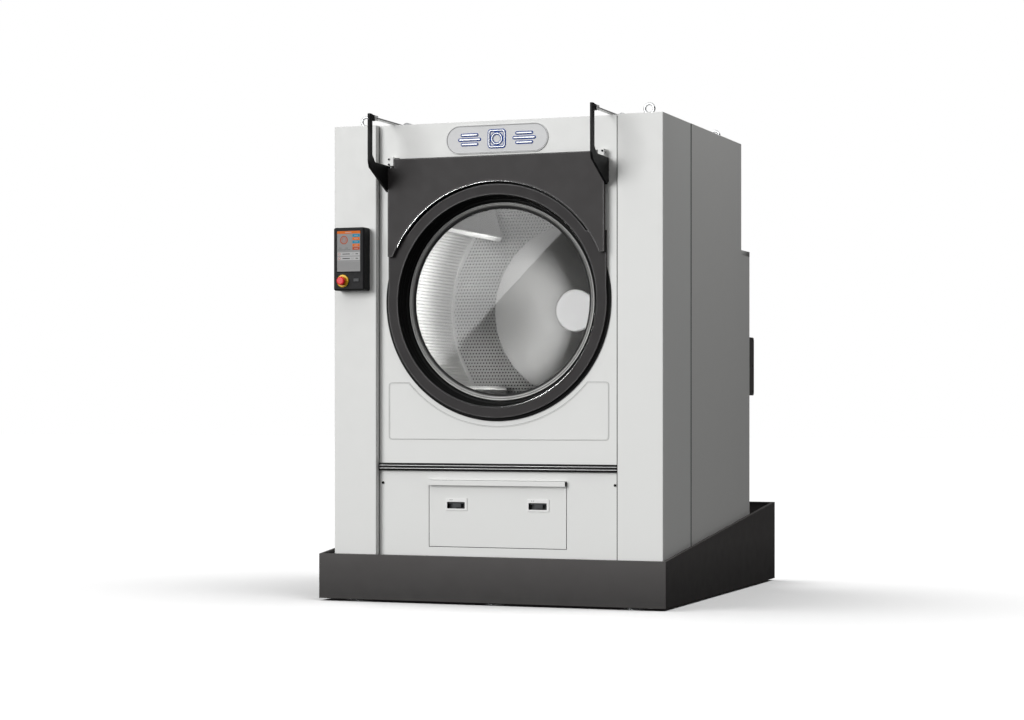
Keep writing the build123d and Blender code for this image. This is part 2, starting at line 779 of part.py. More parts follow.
def make_drum():
    length = DRUM_BACK - DRUM_FRONT
    with BuildPart() as shell:
        with BuildSketch(facing(DRUM_BACK - 4)):
            with Locations((0, AXIS_Z)):
                Circle(DRUM_R)
                Circle(DRUM_R - DRUM_T, mode=Mode.SUBTRACT)
        extrude(amount=length - 4)
        with BuildSketch(facing(DRUM_FRONT + 4)):
            with Locations((0, AXIS_Z)):
                Circle(DRUM_R)
                Circle(582, mode=Mode.SUBTRACT)
        extrude(amount=4)
        with BuildSketch(facing(DRUM_FRONT + 18)):
            with Locations((0, AXIS_Z)):
                Circle(588)
                Circle(582, mode=Mode.SUBTRACT)
        extrude(amount=18)
    save(shell.part, "drum_shell")
    with BuildPart() as back:
        with BuildSketch(facing(DRUM_BACK)):
            with Locations((0, AXIS_Z)):
                Circle(DRUM_R)
        extrude(amount=3.7)
        with BuildSketch(facing(DRUM_BACK - 3.7)):
            with Locations((0, AXIS_Z)):
                Circle(489)
        extrude(amount=4)
    save(back.part, "drum_back")
    with BuildPart() as hub:
        with BuildSketch(facing(DRUM_BACK - 7.8)):
            with Locations((0, AXIS_Z)):
                Circle(HUB_R)
        extrude(amount=16)
        fillet(hub.faces().sort_by(Axis.Y)[0].edges(), 12)
    save(hub.part, "hub_cap")
    with BuildPart() as lifters:
        for angle in (47, 137, 227, 317):
            with BuildSketch(facing(DRUM_BACK - 60)):
                with Locations((0, AXIS_Z)):
                    with Locations(Rotation(0, 0, angle)):
                        with Locations((DRUM_R - DRUM_T - 12, 0)):
                            add(lifter_section())
            extrude(amount=DRUM_BACK - 60 - DRUM_FRONT - 30)
    save(lifters.part, "drum_lifters")
    with BuildPart() as shaft:
        with BuildSketch(facing(FRONT + 1495)):
            with Locations((0, AXIS_Z)):
                Circle(SHAFT_R)
        extrude(amount=1495 - 1290.3)
        with BuildSketch(facing(FRONT + 1322)):
            with Locations((0, AXIS_Z)):
                Circle(230)
        extrude(amount=1322 - 1290.3)
        with BuildSketch(facing(PULLEY_Y + 45)):
            with Locations((0, AXIS_Z)):
                Circle(PULLEY_R)
                Circle(PULLEY_R - 18, mode=Mode.SUBTRACT)
        extrude(amount=45)
        with BuildSketch(facing(PULLEY_Y + 30)):
            with Locations((0, AXIS_Z)):
                Circle(PULLEY_R - 10)
                with PolarLocations(235, 6):
                    Circle(95, mode=Mode.SUBTRACT)
        extrude(amount=12)
    save(shaft.part, "drum_shaft")


def lifter_section():
    """A hollow lifter's outline: local x points outwards, its crest towards the drum's centre."""
    with BuildSketch() as section:
        with BuildLine():
            Polyline((4, -105), (4, 105), (-10, 100), (-150, 16), (-150, -16), (-10, -100), close=True)
        make_face()
        fillet(section.vertices().group_by(Axis.X)[0], 14)
        offset(amount=-SKIN, mode=Mode.SUBTRACT)
    return section.sketch


# ---------------------------------------------------------------- door

def make_door():
    with BuildPart() as plate:
        with BuildSketch(facing(RING_Y - GAP)):
            add(hinge_plate_face())
        extrude(amount=RING_Y - GAP - DOOR_Y)
        with BuildSketch(facing(RING_Y - GAP)):
            offset(hinge_plate_face(), amount=-SKIN)
        extrude(amount=RING_Y - GAP - DOOR_Y - SKIN, mode=Mode.SUBTRACT)
        for side in (-1, 1):
            x = sorted((side * 536, side * 556))
            add(box(x, (DOOR_Y + 1, HINGE_Y), (HINGE_Z - 34, PLATE_TOP - 1)))
            with BuildSketch(side_on(x[0])):
                with Locations((HINGE_Y, HINGE_Z)):
                    Circle(17)
            extrude(amount=20)
            add(pin_along_x(side * 564, HINGE_Y, HINGE_Z, PIN_R, 52))
    save(plate.part, "door_hinge_plate")

    with BuildPart() as ring:
        with BuildSketch(facing(FLANGE_Y)):
            add(ring_face(0))
        extrude(amount=FLANGE_Y - RING_Y)
        with BuildSketch(facing(FLANGE_Y)):
            add(ring_face(SKIN))
        extrude(amount=FLANGE_Y - RING_Y - SKIN, mode=Mode.SUBTRACT)
    save(ring.part, "door_ring")

    lip_r = RING_IN_R - GAP
    back = RIM_Y + 30
    with BuildPart() as cone:
        with BuildSketch(Plane.XZ):
            with BuildLine():
                Polyline(
                    (lip_r - 3, RING_Y + 2),
                    (lip_r - 7, RING_Y + 30),
                    (RIM_R + 16, RIM_Y - 22),
                    (RIM_R + 10, RIM_Y - 22),
                    (RIM_R + 2, RIM_Y + 8),
                    (RIM_R + 2, back),
                    (RIM_R + 12, back),
                    (RIM_R + 22, RIM_Y - 12),
                    (RING_IN_R + 7, PANEL_Y + 8),
                    (RING_IN_R + 7, PANEL_Y - 1),
                    (FLANGE_R, PANEL_Y - 1),
                    (FLANGE_R, FLANGE_Y + GAP),
                    (lip_r, FLANGE_Y + GAP),
                    (lip_r, RING_Y + 2),
                    close=True,
                )
            make_face()
        revolve(axis=Axis.Z)
    save(to_depth(cone.part), "door_cone")

    with BuildPart() as rim:
        with BuildSketch(Plane.XZ):
            with Locations(((RIM_R + GLASS_R) / 2, RIM_Y + 6)):
                Rectangle(RIM_R - GLASS_R, 16)
            fillet(vertices().group_by(Axis.Y)[0], 6)
        revolve(axis=Axis.Z)
    save(to_depth(rim.part), "glass_rim")

    with BuildPart() as glass:
        with BuildSketch(facing(RIM_Y + 14 + GAP + 10)):
            with Locations((0, AXIS_Z)):
                Circle(RIM_R - 1)
        extrude(amount=10)
    save(glass.part, "door_glass")


def to_depth(part):
    """Turn a part revolved about Z, drawn with depth as its height, onto the door's axis."""
    turned = Rotation(-90, 0, 0) * part
    return Pos(0, 0, AXIS_Z) * turned


def hinge_plate_face():
    with BuildSketch() as face:
        with Locations((0, (PLATE_LEDGE + PLATE_TOP) / 2)):
            Rectangle(2 * PLATE_HALF, PLATE_TOP - PLATE_LEDGE)
        with Locations((0, AXIS_Z)):
            Circle(ARCH_R, mode=Mode.SUBTRACT)
        for side in (-1, 1):
            with Locations((side * (PLATE_HALF - 17), PLATE_TOP - 24)):
                Rectangle(34, 48, mode=Mode.SUBTRACT)
    return face.sketch


def ring_face(inset):
    top = PLATE_LEDGE + 110
    with BuildSketch() as face:
        with Locations((0, AXIS_Z)):
            Circle(RING_R - inset)
        with Locations((0, (AXIS_Z + top) / 2)):
            Rectangle(2 * (RING_R - 3 - inset), top - AXIS_Z - 2 * inset)
        with Locations((0, AXIS_Z)):
            Circle(RING_IN_R + inset, mode=Mode.SUBTRACT)
    return face.sketch


def make_arms():
    bar_front = FRONT - 232
    bar_back = FRONT - 196
    top = 2512
    with BuildPart() as arm:
        with BuildSketch(side_on(ARM_X - ARM_T / 2)) as outline:
            with BuildLine():
                Polyline(
                    (bar_front, top),
                    (bar_back, top),
                    (bar_back, 2300),
                    (FRONT - 160, 2268),
                    (FRONT + 30, 2264),
                    (FRONT + 30, 2146),
                    (FRONT + 6, 2128),
                    (bar_front + 12, 2236),
                    (bar_front, 2268),
                    close=True,
                )
            make_face()
            fillet(outline.vertices().group_by(Axis.X)[0], 6)
        extrude(amount=ARM_T)
        pin_z = ARM_TOP_PIN[1]
        add(box((ARM_X - 6, ARM_X + 6), (bar_back - 1, bar_back + 5), (pin_z - 16, pin_z + 16)))
        for ear in (-6, 3):
            with BuildSketch(side_on(ARM_X + ear)):
                with Locations(ARM_TOP_PIN):
                    Circle(15)
                with Locations(((bar_back + ARM_TOP_PIN[0]) / 2, ARM_TOP_PIN[1])):
                    Rectangle(ARM_TOP_PIN[0] - bar_back, 30)
            extrude(amount=3)
        add(pin_along_x(ARM_X, ARM_TOP_PIN[0], ARM_TOP_PIN[1], 6, 18))
    both(arm.part, "door_arm")

    with BuildPart() as rod:
        with BuildSketch(side_on(ARM_X - 2.7)):
            with Locations(ARM_TOP_PIN):
                Circle(13)
            with Locations((ARM_TOP_PIN[0] + 14, ARM_TOP_PIN[1])):
                Rectangle(28, 14)
            with Locations(ARM_TOP_PIN):
                Circle(6.05, mode=Mode.SUBTRACT)
        extrude(amount=5.4)
        with BuildSketch(facing(ARM_TOP_PIN[0] + 480)):
            with Locations((ARM_X, ARM_TOP_PIN[1])):
                Circle(ROD_R)
        extrude(amount=480 - 20)
        with BuildSketch(facing(ARM_TOP_PIN[0] + 480)):
            with Locations((ARM_X, ARM_TOP_PIN[1])):
                Circle(19.95)
        extrude(amount=18)
    both(rod.part, "door_rod")

    with BuildPart() as cylinder:
        with BuildSketch(facing(GAS_FRONT + GAS_LENGTH)):
            with Locations((ARM_X, ARM_TOP_PIN[1])):
                Circle(GAS_R)
        extrude(amount=GAS_LENGTH)
        with BuildSketch(facing(GAS_FRONT + GAS_LENGTH - 15)):
            with Locations((ARM_X, ARM_TOP_PIN[1])):
                Circle(20)
        extrude(amount=GAS_LENGTH - 30, mode=Mode.SUBTRACT)
        with BuildSketch(facing(GAS_FRONT + 20)):
            with Locations((ARM_X, ARM_TOP_PIN[1])):
                Circle(ROD_R + 0.05)
        extrude(amount=30, mode=Mode.SUBTRACT)
    both(cylinder.part, "door_cylinder")


# ---------------------------------------------------------------- lint drawer

def make_drawer():
    with BuildPart() as front:
        with BuildSketch(facing(PANEL_Y + SKIN)):
            with Locations((0, (DRAWER_LOW + DRAWER_HIGH) / 2)):
                Rectangle(2 * DRAWER_HALF, DRAWER_HIGH - DRAWER_LOW)
            with Locations((-LATCH_X, LATCH_Z), (LATCH_X, LATCH_Z)):
                Rectangle(116, 60, mode=Mode.SUBTRACT)
        extrude(amount=SKIN)
    save(front.part, "drawer_front")

    with BuildPart() as rail:
        with BuildSketch(side_on(-DRAWER_HALF - 1)):
            with BuildLine():
                Polyline(
                    (PANEL_Y - GAP, DRAWER_HIGH + 2),
                    (PANEL_Y - 24, DRAWER_HIGH + 2),
                    (PANEL_Y - 24, DRAWER_HIGH - 24),
                    (PANEL_Y - 21, DRAWER_HIGH - 24),
                    (PANEL_Y - 21, DRAWER_HIGH - 1),
                    (PANEL_Y - GAP, DRAWER_HIGH - 1),
                    close=True,
                )
            make_face()
        extrude(amount=2 * DRAWER_HALF + 2)
    save(rail.part, "drawer_pull")

    with BuildPart() as bezels:
        with BuildSketch(facing(PANEL_Y - GAP)):
            with Locations((-LATCH_X, LATCH_Z), (LATCH_X, LATCH_Z)):
                RectangleRounded(120, 64, 5)
        extrude(amount=3)
        with BuildSketch(facing(PANEL_Y + 26)):
            with Locations((-LATCH_X, LATCH_Z), (LATCH_X, LATCH_Z)):
                Rectangle(112, 56)
        extrude(amount=28)
        with BuildSketch(facing(PANEL_Y + 24)):
            with Locations((-LATCH_X, LATCH_Z - 4), (LATCH_X, LATCH_Z - 4)):
                Rectangle(98, 34)
        extrude(amount=40, mode=Mode.SUBTRACT)
    save(bezels.part, "latch_bezels")

    for side, name in ((-1, "left"), (1, "right")):
        x = side * LATCH_X
        with BuildPart() as paddle:
            with BuildSketch(side_on(x - 22)):
                with Locations((PANEL_Y + 8, LATCH_Z + 6)):
                    Circle(4)
                with Locations((PANEL_Y + 8, LATCH_Z - 5)):
                    Rectangle(5, 22)
            extrude(amount=44)
            with BuildSketch(side_on(x - 48.5)):
                with Locations((PANEL_Y + 8, LATCH_Z + 6)):
                    Circle(2.5)
            extrude(amount=97)
        save(paddle.part, f"latch_paddle_{name}")

    low = DRAWER_LOW + 8
    near = PANEL_Y + SKIN + GAP
    far = PANEL_Y + DRAWER_DEPTH
    half = DRAWER_HALF - 16
    with BuildPart() as tray:
        add(box((-half, half), (near, far), (low, low + 150)))
        add(box((-half + 3, half - 3), (near + 3, far - 3), (low + 3, low + 151)), mode=Mode.SUBTRACT)
    save(tray.part, "lint_tray")
    with BuildPart() as screen:
        with BuildSketch(Plane.XY.offset(low + 60)):
            with Locations((0, (near + far) / 2)):
                Rectangle(2 * half - 6 - 2 * GAP, far - near - 6 - 2 * GAP)
                Rectangle(2 * half - 46, far - near - 46, mode=Mode.SUBTRACT)
        extrude(amount=14)
        with BuildSketch(Plane.XY.offset(low + 66)):
            with Locations((0, (near + far) / 2)):
                Rectangle(2 * half - 46, far - near - 46)
        extrude(amount=1)
    save(screen.part, "lint_screen")


make_pan()
make_feet()
make_base_frame()
make_rams()
make_chassis()
make_ram_heads()
make_columns()
make_side_panels()
make_front_panel()
make_lower_panel()
make_bumper_rail()
make_roof()
make_rear()
make_lifting_eyes()
make_tub()
make_drive()
make_badge()
make_hinge_blocks()
make_saddles()
make_operator_panel()
make_drum()
make_door()
make_arms()
make_drawer()
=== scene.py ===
import math

import bmesh
import bpy
from mathutils import Matrix, Vector
from mathutils.geometry import delaunay_2d_cdt, tessellate_polygon


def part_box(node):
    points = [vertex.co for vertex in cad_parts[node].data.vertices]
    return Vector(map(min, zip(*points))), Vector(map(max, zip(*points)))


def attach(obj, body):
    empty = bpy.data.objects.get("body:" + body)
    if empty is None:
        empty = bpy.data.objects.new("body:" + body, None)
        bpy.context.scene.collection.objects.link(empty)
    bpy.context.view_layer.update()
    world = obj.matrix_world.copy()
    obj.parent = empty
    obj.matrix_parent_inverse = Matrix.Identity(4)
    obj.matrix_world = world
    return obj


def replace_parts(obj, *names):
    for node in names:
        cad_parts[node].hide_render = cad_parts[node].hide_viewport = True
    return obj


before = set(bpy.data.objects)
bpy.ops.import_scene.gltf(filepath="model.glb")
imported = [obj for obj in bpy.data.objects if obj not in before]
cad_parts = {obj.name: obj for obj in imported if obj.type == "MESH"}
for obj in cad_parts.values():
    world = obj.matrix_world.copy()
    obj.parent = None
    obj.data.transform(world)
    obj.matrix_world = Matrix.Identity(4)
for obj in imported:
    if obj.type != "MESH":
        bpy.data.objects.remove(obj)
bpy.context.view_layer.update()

# Metres: +X right, +Y into the machine, +Z up.
MM = 0.001


def middle(node):
    low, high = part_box(node)
    return (low + high) / 2


# The height of the axis that the door's circle and the drum share.
AXIS_Z = middle("door_glass").z


# ---------------------------------------------------------------- materials

class Material:
    """A node material, with short calls for the nodes used here."""

    def __init__(self, name):
        self.data = bpy.data.materials.new(name)
        self.data.use_nodes = True
        self.tree = self.data.node_tree
        self.tree.nodes.clear()
        self.output = self.node("ShaderNodeOutputMaterial")
        self.where = self.node("ShaderNodeTexCoord").outputs["Object"]

    def node(self, kind, values=None, **settings):
        made = self.tree.nodes.new(kind)
        for key, value in settings.items():
            setattr(made, key, value)
        for key, value in (values or {}).items():
            self.give(made.inputs[key], value)
        return made

    def give(self, socket, value):
        if isinstance(value, bpy.types.NodeSocket):
            self.tree.links.new(value, socket)
        else:
            socket.default_value = value

    def math(self, operation, a, b=0.0):
        return self.node("ShaderNodeMath", {0: a, 1: b}, operation=operation).outputs[0]

    def ranged(self, value, low, high, to_low, to_high):
        made = self.node("ShaderNodeMapRange", {0: value, 1: low, 2: high, 3: to_low, 4: to_high})
        return made.outputs[0]

    def stretched(self, scale):
        return self.node("ShaderNodeMapping", {"Vector": self.where, "Scale": scale}).outputs[0]

    def noise(self, scale, detail=2.0, where=None, rough=0.5):
        values = {"Vector": where or self.where, "Scale": scale, "Detail": detail, "Roughness": rough}
        return self.node("ShaderNodeTexNoise", values).outputs[0]

    def mixed(self, factor, a, b):
        made = self.node("ShaderNodeMix", {0: factor, 6: a, 7: b}, data_type="RGBA")
        return made.outputs[2]

    def split(self):
        return self.node("ShaderNodeSeparateXYZ", {0: self.where}).outputs

    def edges(self, radius, against="Normal", flat=0.995, sharp=0.86):
        """The rounded normal, and a mask that is 0 where it agrees with the surface's own and 1 on edges."""
        rounded = self.node("ShaderNodeBevel", {"Radius": radius}, samples=4).outputs[0]
        plain = self.node("ShaderNodeNewGeometry").outputs[against]
        dot = self.node("ShaderNodeVectorMath", {0: rounded, 1: plain}, operation="DOT_PRODUCT")
        return rounded, self.ranged(dot.outputs["Value"], flat, sharp, 0.0, 1.0)

    def bump(self, height, distance, strength=1.0, normal=None):
        values = {"Height": height, "Distance": distance, "Strength": strength}
        if normal is not None:
            values["Normal"] = normal
        return self.node("ShaderNodeBump", values).outputs[0]

    def surface(self, **values):
        """A principled surface: each name is an input's, with _ for its spaces."""
        shader = self.node("ShaderNodeBsdfPrincipled", {k.replace("_", " "): v for k, v in values.items()})
        self.give(self.output.inputs["Surface"], shader.outputs[0])
        return self.data


def rgb(r, g, b):
    return (r, g, b, 1.0)


def shade(colour, factor):
    return tuple(c * factor for c in colour[:3]) + (1.0,)


def powder_coat(name, colour, rough=0.42, tone=0.02, peel=0.00005, wear_and_highlight=0.0, dust=0.0, edge=0.0012, spec=0.5,
                low=None, shiny=False):
    """Powder coating: fine orange peel and a slow drift of tone. Its edges can be lightened, as rubbed wear
    and as painted highlight, and dust can lie near the floor. low holds two heights and the painted shade
    below the first of them, so the coat grows darker towards the bottom. shiny makes rounded edges glossier."""
    m = Material(name)
    broad = m.noise(1.3, 3)
    grain = m.noise(420, 2)
    peeled = m.noise(150, 3)
    tint = m.mixed(broad, shade(colour, 1 - tone), shade(colour, 1 + tone))
    tint = m.mixed(m.ranged(grain, 0.35, 0.65, 0.0, 0.35), tint, shade(colour, 1 - 2 * tone))
    normal, mask = m.edges(edge)
    # Lightened edges: rubbed wear, and a painted edge highlight.
    if wear_and_highlight:
        rub_and_highlight = m.math("MULTIPLY", mask, m.ranged(m.noise(60, 4), 0.45, 0.7, 0.0, wear_and_highlight))
        tint = m.mixed(rub_and_highlight, tint, shade(colour, 2.6))
    # Painted shade: the coat grows darker from the second height down to the first, and stays darkest below
    # it.
    if low:
        tint = m.mixed(m.ranged(m.split()[2], low[0], low[1], 0.0, 1.0), shade(colour, low[2]), tint)
    if dust:
        floor = m.ranged(m.split()[2], 0.0, 0.16, dust, 0.0)
        floor = m.math("MULTIPLY", floor, m.ranged(m.noise(9, 5), 0.35, 0.7, 0.2, 1.0))
        tint = m.mixed(floor, tint, rgb(0.32, 0.30, 0.27))
    roughness = m.ranged(m.noise(14, 3), 0.3, 0.7, rough - 0.03, rough + 0.04)
    level = spec
    if shiny:
        _, mask = m.edges(9 * MM, "True Normal", 0.99, 0.93)
        roughness = m.math("SUBTRACT", roughness, m.math("MULTIPLY", mask, rough - 0.22))
        level = m.ranged(mask, 0.0, 1.0, spec, 0.35)
    height = m.math("ADD", peeled, m.math("MULTIPLY", grain, 0.4))
    normal = m.bump(height, peel, 1.0, normal)
    return m.surface(Base_Color=tint, Roughness=roughness, Normal=normal, Specular_IOR_Level=level)


def moulded(name, colour, rough=0.5, grain=900, depth=0.00003, spec=0.4):
    """Moulded plastic or rubber with a fine spark-eroded texture."""
    m = Material(name)
    fine = m.noise(grain, 3)
    tint = m.mixed(m.noise(22, 3), shade(colour, 0.95), shade(colour, 1.05))
    normal, mask = m.edges(1 * MM)
    roughness = m.ranged(m.noise(60, 3), 0.3, 0.7, rough - 0.05, rough + 0.06)
    roughness = m.math("SUBTRACT", roughness, m.math("MULTIPLY", mask, 0.12))
    normal = m.bump(fine, depth, 1.0, normal)
    return m.surface(Base_Color=tint, Roughness=roughness, Normal=normal, Specular_IOR_Level=spec)


def brushed(name, colour, rough=0.3, along=(3, 400, 400), depth=0.00001, tone=0.05):
    """Brushed or drawn metal: fine lines along the axis with the smallest scale."""
    m = Material(name)
    lines = m.noise(1.0, 3, m.stretched(along), 0.6)
    smudge = m.noise(6, 4)
    tint = m.mixed(lines, shade(colour, 1 - tone), shade(colour, 1 + tone))
    tint = m.mixed(m.ranged(smudge, 0.4, 0.75, 0.0, 0.25), tint, shade(colour, 0.86))
    roughness = m.ranged(lines, 0.3, 0.7, rough - 0.04, rough + 0.06)
    roughness = m.math("ADD", roughness, m.ranged(smudge, 0.3, 0.8, -0.02, 0.05))
    normal = m.bump(lines, depth, 1.0, m.edges(1 * MM)[0])
    return m.surface(Base_Color=tint, Metallic=1.0, Roughness=roughness, Normal=normal)


def drum_sheet_steel(name, colour, rough):
    """Rolled drum sheet: lines run round the drum, with faint water marks."""
    m = Material(name)
    x, y, z = m.split()
    angle = m.math("ARCTAN2", x, m.math("SUBTRACT", z, AXIS_Z))
    around = m.node("ShaderNodeCombineXYZ", {0: angle, 1: m.math("MULTIPLY", y, 260.0), 2: 0.0}).outputs[0]
    lines = m.noise(4.0, 3, around, 0.6)
    marks = m.noise(5, 5)
    tint = m.mixed(lines, shade(colour, 0.95), shade(colour, 1.05))
    tint = m.mixed(m.ranged(marks, 0.45, 0.75, 0.0, 0.3), tint, shade(colour, 0.88))
    roughness = m.ranged(marks, 0.3, 0.7, rough - 0.03, rough + 0.06)
    return m.surface(Base_Color=tint, Metallic=1.0, Roughness=roughness, Normal=m.bump(lines, 0.00001))


def turned_disc_steel(name, colour, rough, anisotropy):
    """A spun disc: its lines run round the centre, which draws the light out into two fans."""
    m = Material(name)
    x, _, z = m.split()
    rise = m.math("SUBTRACT", z, AXIS_Z)
    radius = m.math("SQRT", m.math("ADD", m.math("MULTIPLY", x, x), m.math("MULTIPLY", rise, rise)))
    rings = m.node("ShaderNodeCombineXYZ", {0: m.math("MULTIPLY", radius, 600.0)}).outputs[0]
    lines = m.noise(1.0, 3, rings, 0.6)
    tint = m.mixed(lines, shade(colour, 0.96), shade(colour, 1.04))
    tint = m.mixed(m.ranged(m.noise(3, 4), 0.45, 0.75, 0.0, 0.25), tint, shade(colour, 0.9))
    tangent = m.node("ShaderNodeTangent", direction_type="RADIAL", axis="Y").outputs[0]
    roughness = m.ranged(lines, 0.3, 0.7, rough - 0.02, rough + 0.03)
    return m.surface(Base_Color=tint, Metallic=1.0, Roughness=roughness, Anisotropic=anisotropy,
                     Tangent=tangent)


def pane(name):
    """Clear flat glass that lets light straight through, with a reflection on each face and faint smears."""
    m = Material(name)
    clear = m.node("ShaderNodeBsdfTransparent", {0: rgb(0.94, 0.94, 0.94)})
    smear = m.ranged(m.noise(3.0, 5), 0.45, 0.8, 0.0, 0.05)
    gloss = m.node("ShaderNodeBsdfGlossy", {"Color": rgb(1, 1, 1), "Roughness": smear})
    behind = m.node("ShaderNodeNewGeometry").outputs["Backfacing"]
    fresnel = m.node("ShaderNodeFresnel", {"IOR": m.ranged(behind, 0.0, 1.0, 1.5, 1 / 1.5)})
    mix = m.node("ShaderNodeMixShader", {0: fresnel.outputs[0], 1: clear.outputs[0], 2: gloss.outputs[0]})
    m.give(m.output.inputs["Surface"], mix.outputs[0])
    return m.data


def woven(name, colour, pitch):
    """Woven wire cloth seen as crossing wires."""
    m = Material(name)
    x, y, _ = m.split()
    wave = [m.math("ABSOLUTE", m.math("SINE", m.math("MULTIPLY", s, math.pi / pitch))) for s in (x, y)]
    wires = m.math("MINIMUM", wave[0], wave[1])
    tint = m.mixed(m.ranged(wires, 0.2, 0.6, 0.0, 1.0), shade(colour, 1.2), shade(colour, 0.3))
    return m.surface(Base_Color=tint, Metallic=0.8, Roughness=0.42, Normal=m.bump(wires, 0.0004, -0.6))


def flat_ink(name, colour, glow=0.0):
    """A flat tile of the display, with the faint grain of its dots."""
    m = Material(name)
    tint = m.mixed(m.ranged(m.noise(1500, 2), 0.3, 0.7, 0.2, 0.8), shade(colour, 0.92), shade(colour, 1.06))
    return m.surface(Base_Color=tint, Roughness=0.5, Specular_IOR_Level=0.08, Emission_Color=colour,
                     Emission_Strength=glow)


WHITE = powder_coat("white_coat", rgb(0.745, 0.75, 0.735), 0.40, 0.012)
SIDE = powder_coat("side_coat", rgb(0.715, 0.715, 0.70), 0.46, 0.014, 0.00007)
# The pan's coat is painted darker towards the bottom as painted shade, and its lightened edges are rubbed wear
# and a painted highlight.
PAN = powder_coat("pan_coat", rgb(0.080, 0.075, 0.0735), 0.55, 0.06, 0.00012, wear_and_highlight=0.5, dust=0.03, edge=0.002,
                  spec=0.25, low=(0.04, 0.27, 0.42))
DOOR = powder_coat("door_coat", rgb(0.047, 0.044, 0.044), 0.55, 0.05, 0.0001,
                   edge=0.0016, spec=0.2, shiny=True)
# The ring's coat is the door's coat made darker: painted shade, so that the ring set behind the plate reads
# darker.
RING = powder_coat("ring_coat", rgb(0.030, 0.0275, 0.028), 0.55, 0.05, 0.0001,
                   edge=0.0016, spec=0.2, shiny=True)
BLACK = powder_coat("black_coat", rgb(0.007, 0.007, 0.0075), 0.5, 0.08, 0.00008,
                    wear_and_highlight=0.25, edge=0.0016, spec=0.15)
ENAMEL = powder_coat("frame_enamel", rgb(0.05, 0.05, 0.053), 0.5, 0.08, 0.0001, wear_and_highlight=0.7, dust=0.2)
CAST = powder_coat("motor_casting", rgb(0.12, 0.14, 0.16), 0.55, 0.1, 0.0004, wear_and_highlight=0.4)
SEAL = moulded("seal_rubber", rgb(0.006, 0.006, 0.006), 0.5, 500, spec=0.15)
RUBBER = moulded("rubber", rgb(0.02, 0.02, 0.02), 0.7, 350, 0.00008)
HOUSING = moulded("panel_housing_plastic", rgb(0.012, 0.012, 0.013), 0.5, 1300, 0.00002, spec=0.15)
DARK_PLASTIC = moulded("dark_plastic", rgb(0.075, 0.077, 0.08), 0.5, 900, spec=0.2)
GASKET = moulded("black_gasket", rgb(0.004, 0.004, 0.004), 0.6, 500, spec=0.1)
GREY_PLASTIC = moulded("grey_plastic", rgb(0.40, 0.41, 0.41), 0.38)
WHITE_PLASTIC = moulded("white_plastic", rgb(0.80, 0.80, 0.79), 0.34)
RED = moulded("red_plastic", rgb(0.80, 0.018, 0.030), 0.30, 200, 0.00001, spec=0.3)
YELLOW = moulded("yellow_plastic", rgb(0.82, 0.50, 0.015), 0.32, 200, 0.00001)
ZINC = brushed("zinc_plate", rgb(0.66, 0.67, 0.68), 0.28, (60, 60, 60), 0.00002)
CHROME = brushed("polished_rod", rgb(0.82, 0.82, 0.82), 0.34, (500, 3, 500), 0.000002)
SILVER = brushed("badge_silver", rgb(0.40, 0.41, 0.42), 0.36, (400, 400, 8), 0.000004)
GALVANISED = brushed("galvanised_tray", rgb(0.58, 0.59, 0.60), 0.38, (30, 30, 30), 0.00001, tone=0.12)
STEEL = brushed("machined_steel", rgb(0.50, 0.50, 0.50), 0.34, (300, 20, 300))
RIM = brushed("rim_steel", rgb(0.20, 0.20, 0.195), 0.46, (40, 600, 40), 0.000006)
PLATE = powder_coat("badge_plate_silver", rgb(0.63, 0.635, 0.64), 0.42, 0.015, 0.00002, spec=0.4)
SHEET = drum_sheet_steel("drum_sheet_steel", rgb(0.74, 0.74, 0.73), 0.36)
DISC = turned_disc_steel("drum_disc_steel", rgb(0.76, 0.76, 0.75), 0.50, 0.3)
LIFTER = drum_sheet_steel("lifter_steel", rgb(0.70, 0.70, 0.69), 0.40)
TUB = brushed("tub_sheet", rgb(0.30, 0.30, 0.30), 0.5, (3, 80, 80))
GLASS = pane("door_pane")
LIP = brushed("polished_lip", rgb(0.55, 0.55, 0.55), 0.22, (60, 60, 60), 0.000002)
BEAD = brushed("rail_bead", rgb(0.5, 0.5, 0.5), 0.4, (3, 300, 300), 0.000004)
MESH = woven("lint_mesh", rgb(0.40, 0.40, 0.41), 0.0016)
# Painted reflection: the hub cap is near white to stand for the bright reflection that lies on it.
HUB = powder_coat("hub_cap_white_painted_reflection", rgb(0.88, 0.88, 0.88), 0.30, 0.01)
BLUE = powder_coat("badge_blue", rgb(0.02, 0.07, 0.33), 0.5, 0.05, 0.00002, spec=0.15)
SCREW = moulded("black_screw", rgb(0.006, 0.006, 0.006), 0.5, 500, spec=0.1)
LINE = powder_coat("shadow_line", rgb(0.33, 0.33, 0.325), 0.6, 0.03, 0.00002, spec=0.1)

